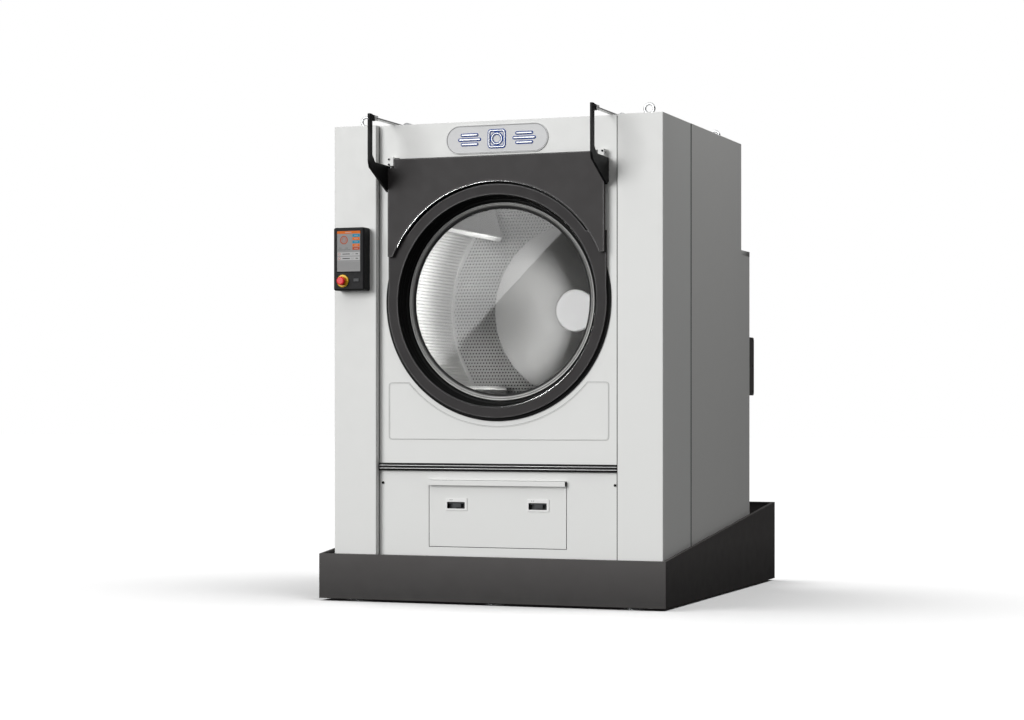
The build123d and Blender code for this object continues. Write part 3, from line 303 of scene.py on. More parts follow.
NODE_LOOKS = {
    "base_pan": PAN,
    "levelling_feet": ZINC,
    "base_frame": ENAMEL,
    "rest_pads": RUBBER,
    "ram_barrel_left": ENAMEL,
    "ram_barrel_right": ENAMEL,
    "ram_rod_left": CHROME,
    "ram_rod_right": CHROME,
    "chassis": ENAMEL,
    "ram_head_brackets": ENAMEL,
    "column_left": WHITE,
    "column_right": WHITE,
    "side_panel_left": SIDE,
    "side_panel_right": SIDE,
    "front_panel": WHITE,
    "lower_panel": WHITE,
    "bumper_rail": SEAL,
    "roof_pan": SIDE,
    "rear_panel": SIDE,
    "rear_housing": SIDE,
    "rear_lid": SIDE,
    "rear_bracket": PAN,
    "lifting_eyes": ZINC,
    "tub": TUB,
    "bearing_housing": CAST,
    "motor": CAST,
    "drive_belt": RUBBER,
    "motor_pulley": STEEL,
    "badge_plate": PLATE,
    "badge_emblem": CHROME,
    "hinge_blocks": WHITE,
    "cylinder_saddles": ZINC,
    "hmi_housing": HOUSING,
    "hmi_display": HOUSING,
    "estop_ring": YELLOW,
    "estop_button": RED,
    "reset_button": DARK_PLASTIC,
    "drum_shell": SHEET,
    "drum_back": SHEET,
    "hub_cap": HUB,
    "drum_lifters": LIFTER,
    "drum_shaft": STEEL,
    "door_hinge_plate": DOOR,
    "door_ring": RING,
    "door_cone": SEAL,
    "glass_rim": RIM,
    "door_glass": GLASS,
    "door_arm_left": BLACK,
    "door_arm_right": BLACK,
    "door_rod_left": CHROME,
    "door_rod_right": CHROME,
    "door_cylinder_left": ZINC,
    "door_cylinder_right": ZINC,
    "drawer_front": WHITE,
    "drawer_pull": WHITE,
    "latch_bezels": WHITE_PLASTIC,
    "latch_paddle_left": DARK_PLASTIC,
    "latch_paddle_right": DARK_PLASTIC,
    "lint_tray": GALVANISED,
    "lint_screen": MESH,
}

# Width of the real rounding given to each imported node's edges, in millimetres.
NODE_ROUNDING = {
    "base_pan": 2.0,
    "door_hinge_plate": 4.0,
    "door_ring": 4.0,
    "door_arm_left": 2.5,
    "door_arm_right": 2.5,
    "bumper_rail": 1.5,
    "rear_bracket": 1.5,
    "hinge_blocks": 1.0,
    "rear_housing": 2.0,
    "drawer_pull": 1.0,
    "latch_bezels": 1.0,
    "badge_plate": 1.0,
    "front_panel": 0.5,
    "column_left": 1.5,
    "column_right": 1.5,
    "side_panel_left": 1.0,
    "side_panel_right": 1.0,
    "hmi_housing": 1.5,
    "drawer_front": 1.0,
    "lower_panel": 1.0,
}


def soften(node, width):
    """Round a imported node's sharp edges with modifiers, which leave its own mesh as it is."""
    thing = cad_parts[node]
    weld = thing.modifiers.new("weld", "WELD")
    weld.merge_threshold = 0.02 * MM
    if width:
        flat = thing.modifiers.new("flat", "DECIMATE")
        flat.decimate_type = "DISSOLVE"
        flat.angle_limit = math.radians(0.5)
        bevel = thing.modifiers.new("round", "BEVEL")
        bevel.width = width * MM
        bevel.segments = 3
        bevel.limit_method = "ANGLE"
        bevel.angle_limit = math.radians(50)
    weight = thing.modifiers.new("weight", "WEIGHTED_NORMAL")
    weight.keep_sharp = False


def dress_nodes():
    for name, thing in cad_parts.items():
        thing.data.materials.clear()
        thing.data.materials.append(NODE_LOOKS[name])
        soften(name, NODE_ROUNDING.get(name, 0))


# ---------------------------------------------------------------- mesh helpers

def mesh_object(name, verts, faces, material, sharp=35, picks=None):
    data = bpy.data.meshes.new(name)
    data.from_pydata([tuple(v) for v in verts], [], faces)
    for m in material if isinstance(material, (list, tuple)) else [material]:
        data.materials.append(m)
    if picks is not None:
        data.polygons.foreach_set("material_index", picks)
    data.polygons.foreach_set("use_smooth", [True] * len(data.polygons))
    data.set_sharp_from_angle(angle=math.radians(sharp))
    data.update()
    thing = bpy.data.objects.new(name, data)
    bpy.context.scene.collection.objects.link(thing)
    return thing


def place(thing, body, replaced=()):
    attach(thing, body)
    if replaced:
        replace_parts(thing, *replaced)
    return thing


def weighted(thing):
    thing.modifiers.new("weight", "WEIGHTED_NORMAL").keep_sharp = True
    return thing


def around(r, y, *steps):
    """Profile points at steps in millimetres from one radius and depth."""
    return [(r + dr * MM, y + dy * MM) for dr, dy in steps]


def lathe(name, profile, material, segments=160):
    """A closed (radius, depth) profile turned about the drum's axis."""
    verts, faces, n = [], [], len(profile)
    for i in range(segments):
        a = 2 * math.pi * i / segments
        for r, y in profile:
            verts.append((r * math.sin(a), y, AXIS_Z + r * math.cos(a)))
    for i in range(segments):
        here, after = i * n, (i + 1) % segments * n
        for k in range(n):
            after_k = (k + 1) % n
            faces.append((here + k, after + k, after + after_k, here + after_k))
    return mesh_object(name, verts, faces, material, 30)


def corner(centre, radius, start, end, steps=5):
    """Points of an arc, in degrees."""
    points = []
    for i in range(steps + 1):
        a = math.radians(start + (end - start) * i / steps)
        points.append((centre[0] + radius * math.cos(a), centre[1] + radius * math.sin(a)))
    return points


def rounded(cx, cy, w, h, r, steps=5):
    """A rounded rectangle, counter-clockwise."""
    x, y = w / 2 - r, h / 2 - r
    spots = ((x, y, 0), (-x, y, 90), (-x, -y, 180), (x, -y, 270))
    return [p for sx, sy, a in spots for p in corner((cx + sx, cy + sy), r, a, a + 90, steps)]


def circle(cx, cy, r, steps=48):
    return corner((cx, cy), r, 0, 360 * (1 - 1 / steps), steps - 1)


def inset(loop, amount):
    """The loop moved to its left by amount, which is inwards for a counter-clockwise one."""
    moved, n = [], len(loop)
    for i in range(n):
        a, b, c = (Vector(loop[(i + k) % n]) for k in (-1, 0, 1))
        left = [Vector((-(q - p).y, (q - p).x)).normalized() for p, q in ((a, b), (b, c))]
        total = left[0] + left[1]
        moved.append(tuple(b + total * (amount / max(0.3, 1 + left[0].dot(left[1])))))
    return moved


def plate(loops, spot, depth, bevel, pick=0, steps=3):
    """A plate for joined(), in the material of index pick. The first loop is its outline and the rest are
    holes, in any direction. Its front edges are rounded. spot(u, v, w) gives a point, w behind the front."""
    turned = []
    for i, loop in enumerate(loops):
        area = sum(a[0] * b[1] - b[0] * a[1] for a, b in zip(loop, loop[1:] + loop[:1]))
        turned.append(loop if (area > 0) == (i == 0) else loop[::-1])
    levels = []
    for k in range(steps + 1):
        t = math.pi / 2 * k / steps
        levels.append((bevel * (1 - math.sin(t)), bevel * (1 - math.cos(t))))
    levels.append((0.0, depth))
    verts, faces, fronts, backs = [], [], [], []
    for loop in turned:
        n, base = len(loop), len(verts)
        for amount, w in levels:
            verts += [spot(u, v, w) for u, v in inset(loop, amount)]
        for k in range(len(levels) - 1):
            for i in range(n):
                j = (i + 1) % n
                near, far = base + k * n, base + (k + 1) * n
                faces.append((near + i, near + j, far + j, far + i))
        fronts += range(base, base + n)
        backs += range(base + (len(levels) - 1) * n, base + len(levels) * n)
    flat = [[Vector((u, v, 0)) for u, v in inset(loop, levels[0][0])] for loop in turned]
    for a, b, c in tessellate_polygon(flat):
        faces.append((fronts[a], fronts[b], fronts[c]))
        faces.append((backs[c], backs[b], backs[a]))
    return verts, faces, pick


def facing(depth):
    """Points on a plate that faces the front, its front at that depth."""
    return lambda u, v, w: (u, depth + w, v)


def sideways(x, side):
    """Points (y, z) on a plate that faces left (side -1) or right (side 1), its front at x."""
    return lambda u, v, w: (x - side * w, u, v)


def outward(thing):
    """Turn the mesh's faces outwards."""
    work = bmesh.new()
    work.from_mesh(thing.data)
    bmesh.ops.recalc_face_normals(work, faces=work.faces)
    work.to_mesh(thing.data)
    work.free()
    return thing


def joined(name, parts, materials, body):
    """One piece from several parts, each with its vertices, faces and material index."""
    verts, faces, picks = [], [], []
    for part_verts, part_faces, pick in parts:
        base = len(verts)
        verts += part_verts
        faces += [tuple(base + i for i in f) for f in part_faces]
        picks += [pick] * len(part_faces)
    thing = outward(weighted(mesh_object(name, verts, faces, materials, 35, picks)))
    return place(thing, body)


def screw(centre, axis, radius, height, pick=0, sides=24):
    """A button-head screw with a hexagon socket, its seat at centre and its head along axis."""
    turn = Vector((0, 0, 1)).rotation_difference(Vector(axis)).to_matrix()
    centre = Vector(centre)
    rings = [(1.0, 0.0), (1.0, 0.25), (0.93, 0.6), (0.76, 0.87), (0.56, 1.0)]
    verts, faces = [], []

    def at(r, a, h):
        return centre + turn @ Vector((r * math.cos(a), r * math.sin(a), h * height))

    for r, h in rings:
        for i in range(sides):
            a = 2 * math.pi * i / sides
            verts.append(at(r * radius, a, h))
    for r, h in ((0.46, 1.0), (0.46, 0.35)):
        for i in range(sides):
            a = 2 * math.pi * i / sides
            bend = math.cos(math.pi / 6) / math.cos(a % (math.pi / 3) - math.pi / 6)
            verts.append(at(r * radius * bend, a, h))
    for k in range(len(rings) + 1):
        for i in range(sides):
            j = (i + 1) % sides
            faces.append((k * sides + i, k * sides + j, (k + 1) * sides + j, (k + 1) * sides + i))
    faces.append(tuple(range((len(rings) + 1) * sides, (len(rings) + 2) * sides)))
    faces.append(tuple(range(sides))[::-1])
    return verts, faces, pick


def screws(name, spots, axis, radius, height, body, material):
    parts = [screw(spot, axis, radius * MM, height * MM) for spot in spots]
    return joined(name, parts, [material], body)


# ---------------------------------------------------------------- drum

HOLE_PITCH = 18.1 * MM
ROW_PITCH = 18.3 * MM
HOLE_R = 5.0 * MM
HOLE_SIDES = 8
DRUM_WALL = 3 * MM
LIFTER_HALF = 105 * MM
DRUM_LIP_R = 582 * MM
DISC_R = 489 * MM
DISC_FLAT_R = 159 * MM
DISC_BORE_R = 40 * MM


def perforated(name, border, void, holes, extra, spot, thickness, material):
    """A sheet with real holes: border and void are closed loops, holes are centres, and extra are points that
    help it bend. spot(u, v, w) gives a point, with w the depth behind the seen face."""
    points, edges, faces, loops = [], [], [], []

    def take(loop, dropped):
        base = len(points)
        points.extend(Vector(p) for p in loop)
        ring = list(range(base, base + len(loop)))
        loops.append(ring)
        if dropped:
            faces.append(ring)
        else:
            edges.extend(zip(ring, ring[1:] + ring[:1]))

    take(border, False)
    if void:
        take(void, True)
    for u, v in holes:
        take(circle(u, v, HOLE_R, HOLE_SIDES), True)
    points.extend(Vector(p) for p in extra)
    kept = 0 if void else 1     # 0 keeps what is inside the convex hull, 1 what is inside the border
    flat, _, made, sources, _, owners = delaunay_2d_cdt(points, edges, faces, kept, 1e-7)
    n = len(flat)
    verts = [spot(p.x, p.y, 0) for p in flat] + [spot(p.x, p.y, thickness) for p in flat]
    where = {source: i for i, found in enumerate(sources) for source in found}
    skin = [tuple(f) for f, owner in zip(made, owners) if not owner]
    shell = skin + [tuple(n + i for i in f[::-1]) for f in skin]
    for ring in loops:
        for a, b in zip(ring, ring[1:] + ring[:1]):
            a, b = where[a], where[b]
            shell.append((b, a, a + n, b + n))
    return outward(mesh_object(name, verts, shell, material, 40))


def make_drum_sheets():
    """Four quarter sheets, each with a field of holes between the plain strips that carry the lifters."""
    low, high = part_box("drum_shell")
    inner = (high.x - low.x) / 2 - DRUM_WALL
    front, back = low.y + 4 * MM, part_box("drum_back")[1].y - 4 * MM
    half = inner * math.pi / 4
    clear = half - LIFTER_HALF - 12 * MM
    columns = int((back - front - 80 * MM) / HOLE_PITCH)
    rows = int(2 * clear / ROW_PITCH)
    holes = []
    for row in range(rows + 1):
        for column in range(columns):
            v = back - 15 * MM - (column + 0.5 * (row % 2)) * HOLE_PITCH
            holes.append(((row - rows / 2) * ROW_PITCH, v))
    steps = 64
    across = [-half + 2 * half * i / steps for i in range(steps + 1)]
    border = [(u, front) for u in across] + [(u, back) for u in reversed(across)]
    plain = [s * (clear + 20 * MM + k * 24 * MM) for s in (-1, 1) for k in range(4)]
    deep = [front + 20 * MM + i * 40 * MM for i in range(int((back - front) / (40 * MM)))]
    extra = [(u, v) for u in plain for v in deep]

    def on_shell(u, v, w):
        a = u / inner
        return ((inner + w) * math.sin(a), v, AXIS_Z + (inner + w) * math.cos(a))

    first = perforated("drum_sheet_1", border, None, holes, extra, on_shell, DRUM_WALL, SHEET)
    turn_about = Matrix.Translation((0, 0, AXIS_Z))
    for i in range(4):
        sheet = first
        if i:
            sheet = bpy.data.objects.new(f"drum_sheet_{i + 1}", first.data)
            bpy.context.scene.collection.objects.link(sheet)
        turn = Matrix.Rotation(math.radians(90 * i - 2), 4, "Y")
        sheet.matrix_world = turn_about @ turn @ turn_about.inverted()
        place(sheet, "drum", ["drum_shell"] if i == 0 else ())


def make_drum_ends():
    """The rolled ring at the drum's mouth, its perforated back and the spun disc on that."""
    low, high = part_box("drum_shell")
    outer = (high.x - low.x) / 2
    profile = around(outer, low.y, (0, 1), (-1, 0))
    profile += around(DRUM_LIP_R, low.y, (9, 0), (4, 2), (1, 5), (0, 10), (0, 18))
    profile += around(DRUM_LIP_R, low.y, (2, 18), (3, 10), (10, 3.4)) + around(outer, low.y, (0, 3.7))
    place(lathe("drum_front_ring", profile, LIFTER), "drum")

    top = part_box("drum_back")[0].y
    holes = []
    reach = int(outer / ROW_PITCH) + 1
    for row in range(-reach, reach + 1):
        v = row * ROW_PITCH
        for column in range(-reach - 1, reach + 2):
            u = (column + 0.5 * (row % 2)) * HOLE_PITCH
            if DISC_R - 16 * MM < math.hypot(u, v) < outer - DRUM_WALL - 13 * MM:
                holes.append((u, v))
    rim, core = circle(0, 0, outer, 240), circle(0, 0, DISC_R - 26 * MM, 160)

    def on_back(u, v, w):
        return (u, top + 4 * MM + w, AXIS_Z + v)

    sheet = perforated("drum_back_sheet", rim, core, holes, [], on_back, 3.6 * MM, SHEET)
    place(sheet, "drum", ["drum_back"])
    profile = around(DISC_BORE_R, top, (0, 1)) + around(DISC_FLAT_R, top, (0, 0))
    profile += around(DISC_R, top, (-2.5, 0), (-0.8, 0.8), (0, 2.5), (0, 3.7))
    profile += around(DISC_BORE_R, top, (0, 3.7))
    place(lathe("drum_disc", profile, DISC, 200), "drum")


# ---------------------------------------------------------------- door

PORT_LIP_R = 544.7 * MM
SEAL_STEP_R = 552 * MM
GLASS_R = 486 * MM
ROD_PIN = (-1160 * MM, 2494 * MM)


def make_seal():
    """The black cone between the door ring and the glass, with three ridges."""
    low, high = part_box("door_cone")
    rim_low, rim_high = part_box("glass_rim")
    ring_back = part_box("door_ring")[1].y
    flange_r, rim_r = (high.x - low.x) / 2, (rim_high.x - rim_low.x) / 2
    flange_front, flange_back = ring_back + 0.3 * MM, ring_back + 7 * MM
    shape = around(PORT_LIP_R, flange_front, (0, 0)) + around(PORT_LIP_R, low.y, (0, 0), (-2.5, 0.6))
    for k in range(3):
        ridge_r, ridge_y = PORT_LIP_R - (6 + 5.5 * k) * MM, low.y + (10 + 21 * k) * MM
        shape += around(ridge_r, ridge_y, (2.5, -4), (0, 0), (-2, 5), (-0.5, 9), (0.5, 12))
    shape += around(rim_r, rim_low.y, (9, -10), (3, -4), (1, 2))
    shape += around(rim_r, high.y, (2, 0), (11, 0), (12, -2)) + around(rim_r, rim_low.y, (22, 1))
    shape += around(SEAL_STEP_R, flange_back, (0, 9), (0, 0))
    shape += around(flange_r, flange_back, (-1.5, 0), (0, -1.5))
    shape += around(flange_r, flange_front, (0, 2), (-0.6, 0.6), (-2, 0))
    place(lathe("door_seal", shape, SEAL, 240), "door", ["door_cone"])


def polished_lip(name, radius, y, centre, reach):
    """A polished round lip on an arc about the door's centre, reach degrees to each side of centre."""
    verts, faces, sides = [], [], 12
    steps, r = int(reach * 1.6), 2.2 * MM
    for i in range(steps + 1):
        a = math.radians(centre - reach + 2 * reach * i / steps)
        for k in range(sides):
            b = 2 * math.pi * k / sides
            d = radius + r * math.cos(b)
            verts.append((d * math.sin(a), y + r * math.sin(b), AXIS_Z + d * math.cos(a)))
    for i in range(steps):
        near, far = i * sides, (i + 1) * sides
        for k in range(sides):
            j = (k + 1) % sides
            faces.append((near + k, near + j, far + j, far + k))
    faces.append(tuple(range(sides)))
    faces.append(tuple(range(steps * sides, (steps + 1) * sides)))
    place(outward(mesh_object(name, verts, faces, LIP, 50)), "door")


def make_rim():
    """The stepped steel rim round the glass, and the rubber bead behind it."""
    low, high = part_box("glass_rim")
    rim_r = (high.x - low.x) / 2
    shape = around(rim_r, high.y, (0, 0))
    shape += around(rim_r, low.y, (0, 5), (-1.2, 2), (-4, 0), (-9, 0.6), (-11, 2.6), (-13, 2.6), (-15, 1))
    shape += around(GLASS_R, low.y, (6, 2), (2, 5), (0, 9)) + around(GLASS_R, high.y, (0, 0))
    place(lathe("glass_rim_ridged", shape, RIM, 240), "door", ["glass_rim"])
    bead = around(GLASS_R, high.y, (0.2, 0), (-1, -4), (-4, -4.5), (-7, -1.5), (-7.5, 0.1))
    place(lathe("glass_bead", bead, RUBBER, 240), "door")


def make_door():
    make_seal()
    polished_lip("arch_lip", 612.0 * MM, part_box("door_hinge_plate")[0].y + 0.6 * MM, -6, 56)
    polished_lip("ring_lip", 545.4 * MM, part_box("door_ring")[0].y - 0.4 * MM, 152, 62)
    make_rim()


def make_clevises():
    """A forked end for each door rod: a plate with two screws on each side of the arm, round the rod's pin."""
    y, z = ROD_PIN
    for side in ("left", "right"):
        low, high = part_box("door_arm_" + side)
        parts = []
        for x, s in ((high.x, 1), (low.x, -1)):
            outer = x + s * 3.4 * MM
            cheek = [rounded(y, z, 38 * MM, 26 * MM, 4 * MM, 4)]
            parts.append(plate(cheek, sideways(outer, s), 3 * MM, 0.8 * MM))
            for d in (-9, 9):
                parts.append(screw((outer, y + d * MM, z), (s, 0, 0), 3.4 * MM, 1.4 * MM, 1))
        joined("rod_clevis_" + side, parts, [WHITE_PLASTIC, SCREW], "door_rod_" + side)


# ---------------------------------------------------------------- badge and operator panel

def make_badge():
    """A made-up tumble-dry sign: a circle in a rounded square, with three air bars on each side."""
    centre = middle("badge_plate")
    shapes = [[rounded(0, 0, 92 * MM, 92 * MM, 14 * MM), rounded(0, 0, 76 * MM, 76 * MM, 8 * MM)]]
    shapes.append([circle(0, 0, 31 * MM), circle(0, 0, 23 * MM)])
    for side in (-1, 1):
        for rise, length in ((0, 120), (-side * 24, 90), (side * 24, 90)):
            shapes.append([rounded(side * 150 * MM, rise * MM, length * MM, 10 * MM, 4.8 * MM)])
    low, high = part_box("badge_emblem")
    depth = high.y - low.y
    silver, blue = [], []
    for shape in shapes:
        here = [[(centre.x + u, centre.z + v) for u, v in loop] for loop in shape]
        silver.append(plate(here, facing(low.y), depth, 2.6 * MM))
        grown = [inset(loop, amount * MM) for loop, amount in zip(here, (-3.8, 3.6))]
        blue.append(plate(grown, facing(low.y + 2.2 * MM), depth - 2.1 * MM, 0.6 * MM))
    sign = joined("badge_sign_chrome", silver, [SILVER], "cabinet")
    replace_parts(sign, "badge_emblem")
    joined("badge_sign_blue", blue, [BLUE], "cabinet")

    low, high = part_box("badge_plate")
    width, height = high.x - low.x, high.z - low.z
    edge = []
    for d in (3.4, 6.2):
        edge.append(rounded(centre.x, centre.z, width - 2 * d * MM, height - 2 * d * MM,
                            height / 2 - (d + 0.1) * MM, 16))
    line = plate(edge, facing(low.y - 0.1 * MM), 1.0 * MM, 0.05 * MM, 0, 1)
    joined("badge_edge_lines", [line], [LINE], "cabinet")


def make_display():
    """The display's tiles, in thin layers. Places and sizes are shares of the screen, radii are millimetres.
    A border or a hole leaves only a frame or a ring."""
    low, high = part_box("hmi_display")
    width, height = high.x - low.x, high.z - low.z
    inks = [
        flat_ink("ink_grey", rgb(0.30, 0.30, 0.30)),
        flat_ink("ink_orange", rgb(0.66, 0.15, 0.02), 0.05),
        flat_ink("ink_blue", rgb(0.02, 0.24, 0.38), 0.05),
        flat_ink("ink_red", rgb(0.42, 0.07, 0.02), 0.05),
        flat_ink("ink_dark", rgb(0.05, 0.05, 0.05)),
        flat_ink("ink_pale", rgb(0.48, 0.48, 0.48)),
    ]
    grey, orange, blue, red, dark, pale = range(6)
    thick = 0.12 * MM
    parts = []

    def layered(loops, ink, layer):
        parts.append(plate(loops, facing(low.y - layer * thick), thick, 0.05 * MM, ink, 1))

    def tile(x, z, w, h, ink, layer=1, r=1.0, border=None):
        spot, size = (low.x + x * width, low.z + z * height), (w * width, h * height)
        loops = [rounded(*spot, *size, r * MM, 3)]
        if border:
            inner_r = max(0.4, r - border / 2)
            loops.append(rounded(*spot, size[0] - border * MM, size[1] - border * MM, inner_r * MM, 3))
        layered(loops, ink, layer)

    def ring(x, z, r, hole, ink, layer=2):
        spot = (low.x + x * width, low.z + z * height)
        layered([circle(*spot, r * MM, 32), circle(*spot, hole * MM, 32)], ink, layer)

    tile(0.5, 0.5, 0.93, 0.955, grey, 1, 2.0)
    tile(0.5, 0.945, 0.93, 0.062, orange, 2, 1.2)
    tile(0.49, 0.945, 0.26, 0.012, pale, 3, 0.5)
    ring(0.31, 0.765, 22.0, 17.5, red)
    ring(0.31, 0.765, 14.0, 12.4, red)
    tile(0.31, 0.765, 0.13, 0.055, red, 2, 1.5, 3.0)
    for i, ink in enumerate((blue, orange, blue, orange, red)):
        tile(0.80, 0.868 - 0.076 * i, 0.29, 0.066, ink, 2, 1.2)
        tile(0.80, 0.868 - 0.076 * i, 0.15, 0.009, pale, 3, 0.4)
    for x in (0.16, 0.42):
        tile(x, 0.575, 0.10, 0.022, dark, 2, 0.8, 1.2)
    tile(0.31, 0.535, 0.52, 0.006, dark, 2, 0.3)
    for z in (0.435, 0.330):
        tile(0.5, z, 0.90, 0.085, pale, 2, 1.0)
        ring(0.12, z, 6.5, 4.6, red, 3)
        tile(0.40, z, 0.30, 0.018, dark, 3, 0.8)
        tile(0.66, z, 0.08, 0.026, dark, 3, 0.8, 1.2)
        tile(0.83, z, 0.10, 0.018, dark, 3, 0.8)
    tile(0.5, 0.155, 0.90, 0.20, pale, 2, 1.0, 1.2)
    joined("display_graphics", parts, inks, "cabinet")


# ---------------------------------------------------------------- screws and trims

def make_screws():
    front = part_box("lower_panel")[0].y
    spots = [(s * 637 * MM, front, 614 * MM) for s in (-1, 1)]
    screws("lower_panel_screws", spots, (0, -1, 0), 7.0, 2.0, "cabinet", SCREW)

    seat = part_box("base_pan")[1].x - 0.9 * MM
    for s, name in ((1, "right"), (-1, "left")):
        spots = [(s * seat, y, z) for y in (-0.295, 0.984) for z in (0.024, 0.069)]
        spots.append((s * seat, -1.075, 0.212))
        screws("pan_screws_" + name, spots, (s, 0, 0), 5.0, 1.2, "base", SCREW)

    low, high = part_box("rear_housing")
    reach, z_low, z_high = high.x - 0.022, low.z + 0.03, high.z - 0.03
    spots = [(s * reach, high.y, z_low + (z_high - z_low) * k / 5) for s in (-1, 1) for k in range(6)]
    spots += [(x, high.y, z) for x in (-0.42, 0.0, 0.42) for z in (z_low, z_high)]
    screws("rear_screws", spots, (0, 1, 0), 6.0, 2.2, "cabinet", ZINC)

    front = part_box("hinge_blocks")[0].y
    spots = [(s * 584 * MM, front, z * MM) for s in (-1, 1) for z in (2297, 2270)]
    screws("hinge_block_screws", spots, (0, -1, 0), 5.2, 2.0, "cabinet", SCREW)


COLUMN_TOP = 2470 * MM


def panel_outline():
    """The pressed outline under the door: a rounded rectangle whose top is cut by the door's circle."""
    half, bottom, top, cut, r = 0.602, 0.842, 1.134, 0.645, 0.016
    end = math.asin((top - AXIS_Z) / cut)
    shoulder = cut * math.cos(end) + 0.010
    loop = corner((-half + r, bottom + r), r, 180, 270) + corner((half - r, bottom + r), r, 270, 360)
    loop += corner((half - r, top - r), r, 0, 90)
    loop.append((shoulder, top))
    steps = 60
    for i in range(steps + 1):
        a = end - (2 * end + math.pi) * i / steps
        loop.append((cut * math.cos(a), AXIS_Z + cut * math.sin(a)))
    loop.append((-shoulder, top))
    return loop + corner((-half + r, top - r), r, 90, 180)


def make_outline():
    """The two shadow lines of the pressed outline."""
    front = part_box("front_panel")[0].y
    loop = panel_outline()
    lines = []
    for near, far in ((-2.9, -1.4), (2.2, 3.0)):
        loops = [inset(loop, near * MM), inset(loop, far * MM)]
        lines.append(plate(loops, facing(front - 0.1 * MM), 0.9 * MM, 0.05 * MM, 0, 1))
    joined("panel_outline_lines", lines, [LINE], "cabinet")


def make_gaskets():
    """Gaskets between the columns and the front, and between the columns and the side panels."""
    column_low, column_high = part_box("column_left")
    edge = -column_high.x
    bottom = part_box("lower_panel")[0].z
    height, centre = COLUMN_TOP - bottom, (bottom + COLUMN_TOP) / 2
    panel_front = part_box("front_panel")[0].y
    parts = []
    for s, pick, wide in ((-1, 1, 1.2), (1, 0, 2.6)):
        strip = [rounded(s * (edge - (wide / 2 + 0.1) * MM), centre, wide * MM, height, 0.5 * MM, 2)]
        parts.append(plate(strip, facing(column_low.y + 0.4 * MM), 5 * MM, 0.3 * MM, pick))
        strip = [rounded(s * (edge - 1.2 * MM), centre, 1.8 * MM, height, 0.8 * MM, 2)]
        parts.append(plate(strip, facing(panel_front - 2.6 * MM), 2.5 * MM, 0.5 * MM))
    joined("column_gaskets", parts, [GASKET, LINE], "cabinet")

    low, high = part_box("side_panel_right")
    y, z = (column_high.y + low.y) / 2, (low.z + high.z) / 2
    strip = [rounded(y, z, 13 * MM, high.z - low.z - 4 * MM, 1 * MM, 2)]
    parts = [plate(strip, sideways(s * (high.x + 0.5 * MM), s), 12 * MM, 0.3 * MM) for s in (-1, 1)]
    joined("side_gaskets", parts, [GASKET], "cabinet")


def make_beads():
    """The two bright beads along the bumper rail."""
    low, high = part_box("bumper_rail")
    parts = []
    for z in (low.z + 12.5 * MM, low.z + 27.5 * MM):
        bar = [rounded(0, z, high.x - low.x - 6 * MM, 3.6 * MM, 1.7 * MM, 3)]
        parts.append(plate(bar, facing(low.y - 0.8 * MM), 4 * MM, 1.2 * MM))
    joined("rail_beads", parts, [BEAD], "cabinet")


# ---------------------------------------------------------------- drawer

def make_pull_ends():
    low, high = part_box("drawer_pull")
    centre, size = (low + high) / 2, high - low
    cap = [rounded(centre.y, centre.z, size.y - 5 * MM, size.z - 6 * MM, 2 * MM, 3)]
    parts = [plate(cap, sideways(s * (high.x + 0.4 * MM), s), 2 * MM, 0.2 * MM) for s in (-1, 1)]
    joined("drawer_pull_ends", parts, [GASKET], "drawer")


def make_latches():
    """Each latch has a frame, a dark pocket behind the paddle, and two small marks above it."""
    low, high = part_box("latch_bezels")
    side, height, z = 120 * MM, high.z - low.z, (low.z + high.z) / 2
    frames, pockets, marks = [], [], []
    for s in (-1, 1):
        x = s * ((high.x - low.x) / 2 - side / 2)
        opening = rounded(x - 2 * MM, z - 5 * MM, side - 22 * MM, height - 30 * MM, 3 * MM)
        frames.append(plate([rounded(x, z, side, height, 4 * MM), opening], facing(low.y), 4 * MM, 1.2 * MM))
        back = [rounded(x, z, side - 16 * MM, height - 16 * MM, 3 * MM)]
        pockets.append(plate(back, facing(high.y - 1 * MM), 1 * MM, 0.2 * MM))
        for shift in (34, 24):
            mark = [rounded(x - shift * MM, z + 23 * MM, 6 * MM, 5 * MM, 1 * MM, 2)]
            marks.append(plate(mark, facing(low.y - 0.15 * MM), 1 * MM, 0.1 * MM, 0, 1))
    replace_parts(joined("latch_frames", frames, [WHITE_PLASTIC], "drawer"), "latch_bezels")
    joined("latch_pockets", pockets, [DARK_PLASTIC], "drawer")
    joined("latch_marks", marks, [GREY_PLASTIC], "drawer")


# ---------------------------------------------------------------- stage

def added(name, data):
    thing = bpy.data.objects.new(name, data)
    bpy.context.scene.collection.objects.link(thing)
    return thing


def softbox(name, where, target, size, power, tilt=0.0):
    data = bpy.data.lights.new(name, "AREA")
    data.shape = "RECTANGLE"
    data.size, data.size_y = size
    data.energy = power
    lamp = added(name, data)
    lamp.location = where
    aim = (Vector(target) - Vector(where)).to_track_quat("-Z", "Y")
    lamp.rotation_mode = "QUATERNION"
    lamp.rotation_quaternion = aim @ Matrix.Rotation(math.radians(tilt), 3, "Z").to_quaternion()
    lamp.visible_camera = False
    return lamp


def sunlight(name, toward, strength, spread):
    data = bpy.data.lights.new(name, "SUN")
    data.energy = strength
    data.angle = math.radians(spread)
    lamp = added(name, data)
    lamp.rotation_mode = "QUATERNION"
    lamp.rotation_quaternion = Vector(toward).to_track_quat("-Z", "Y")
    return lamp


def only(lamp, things):
    """Let a lamp light these objects alone."""
    group = bpy.data.collections.new(lamp.name + "_only")
    for thing in things:
        group.objects.link(thing)
    lamp.light_linking.receiver_collection = group


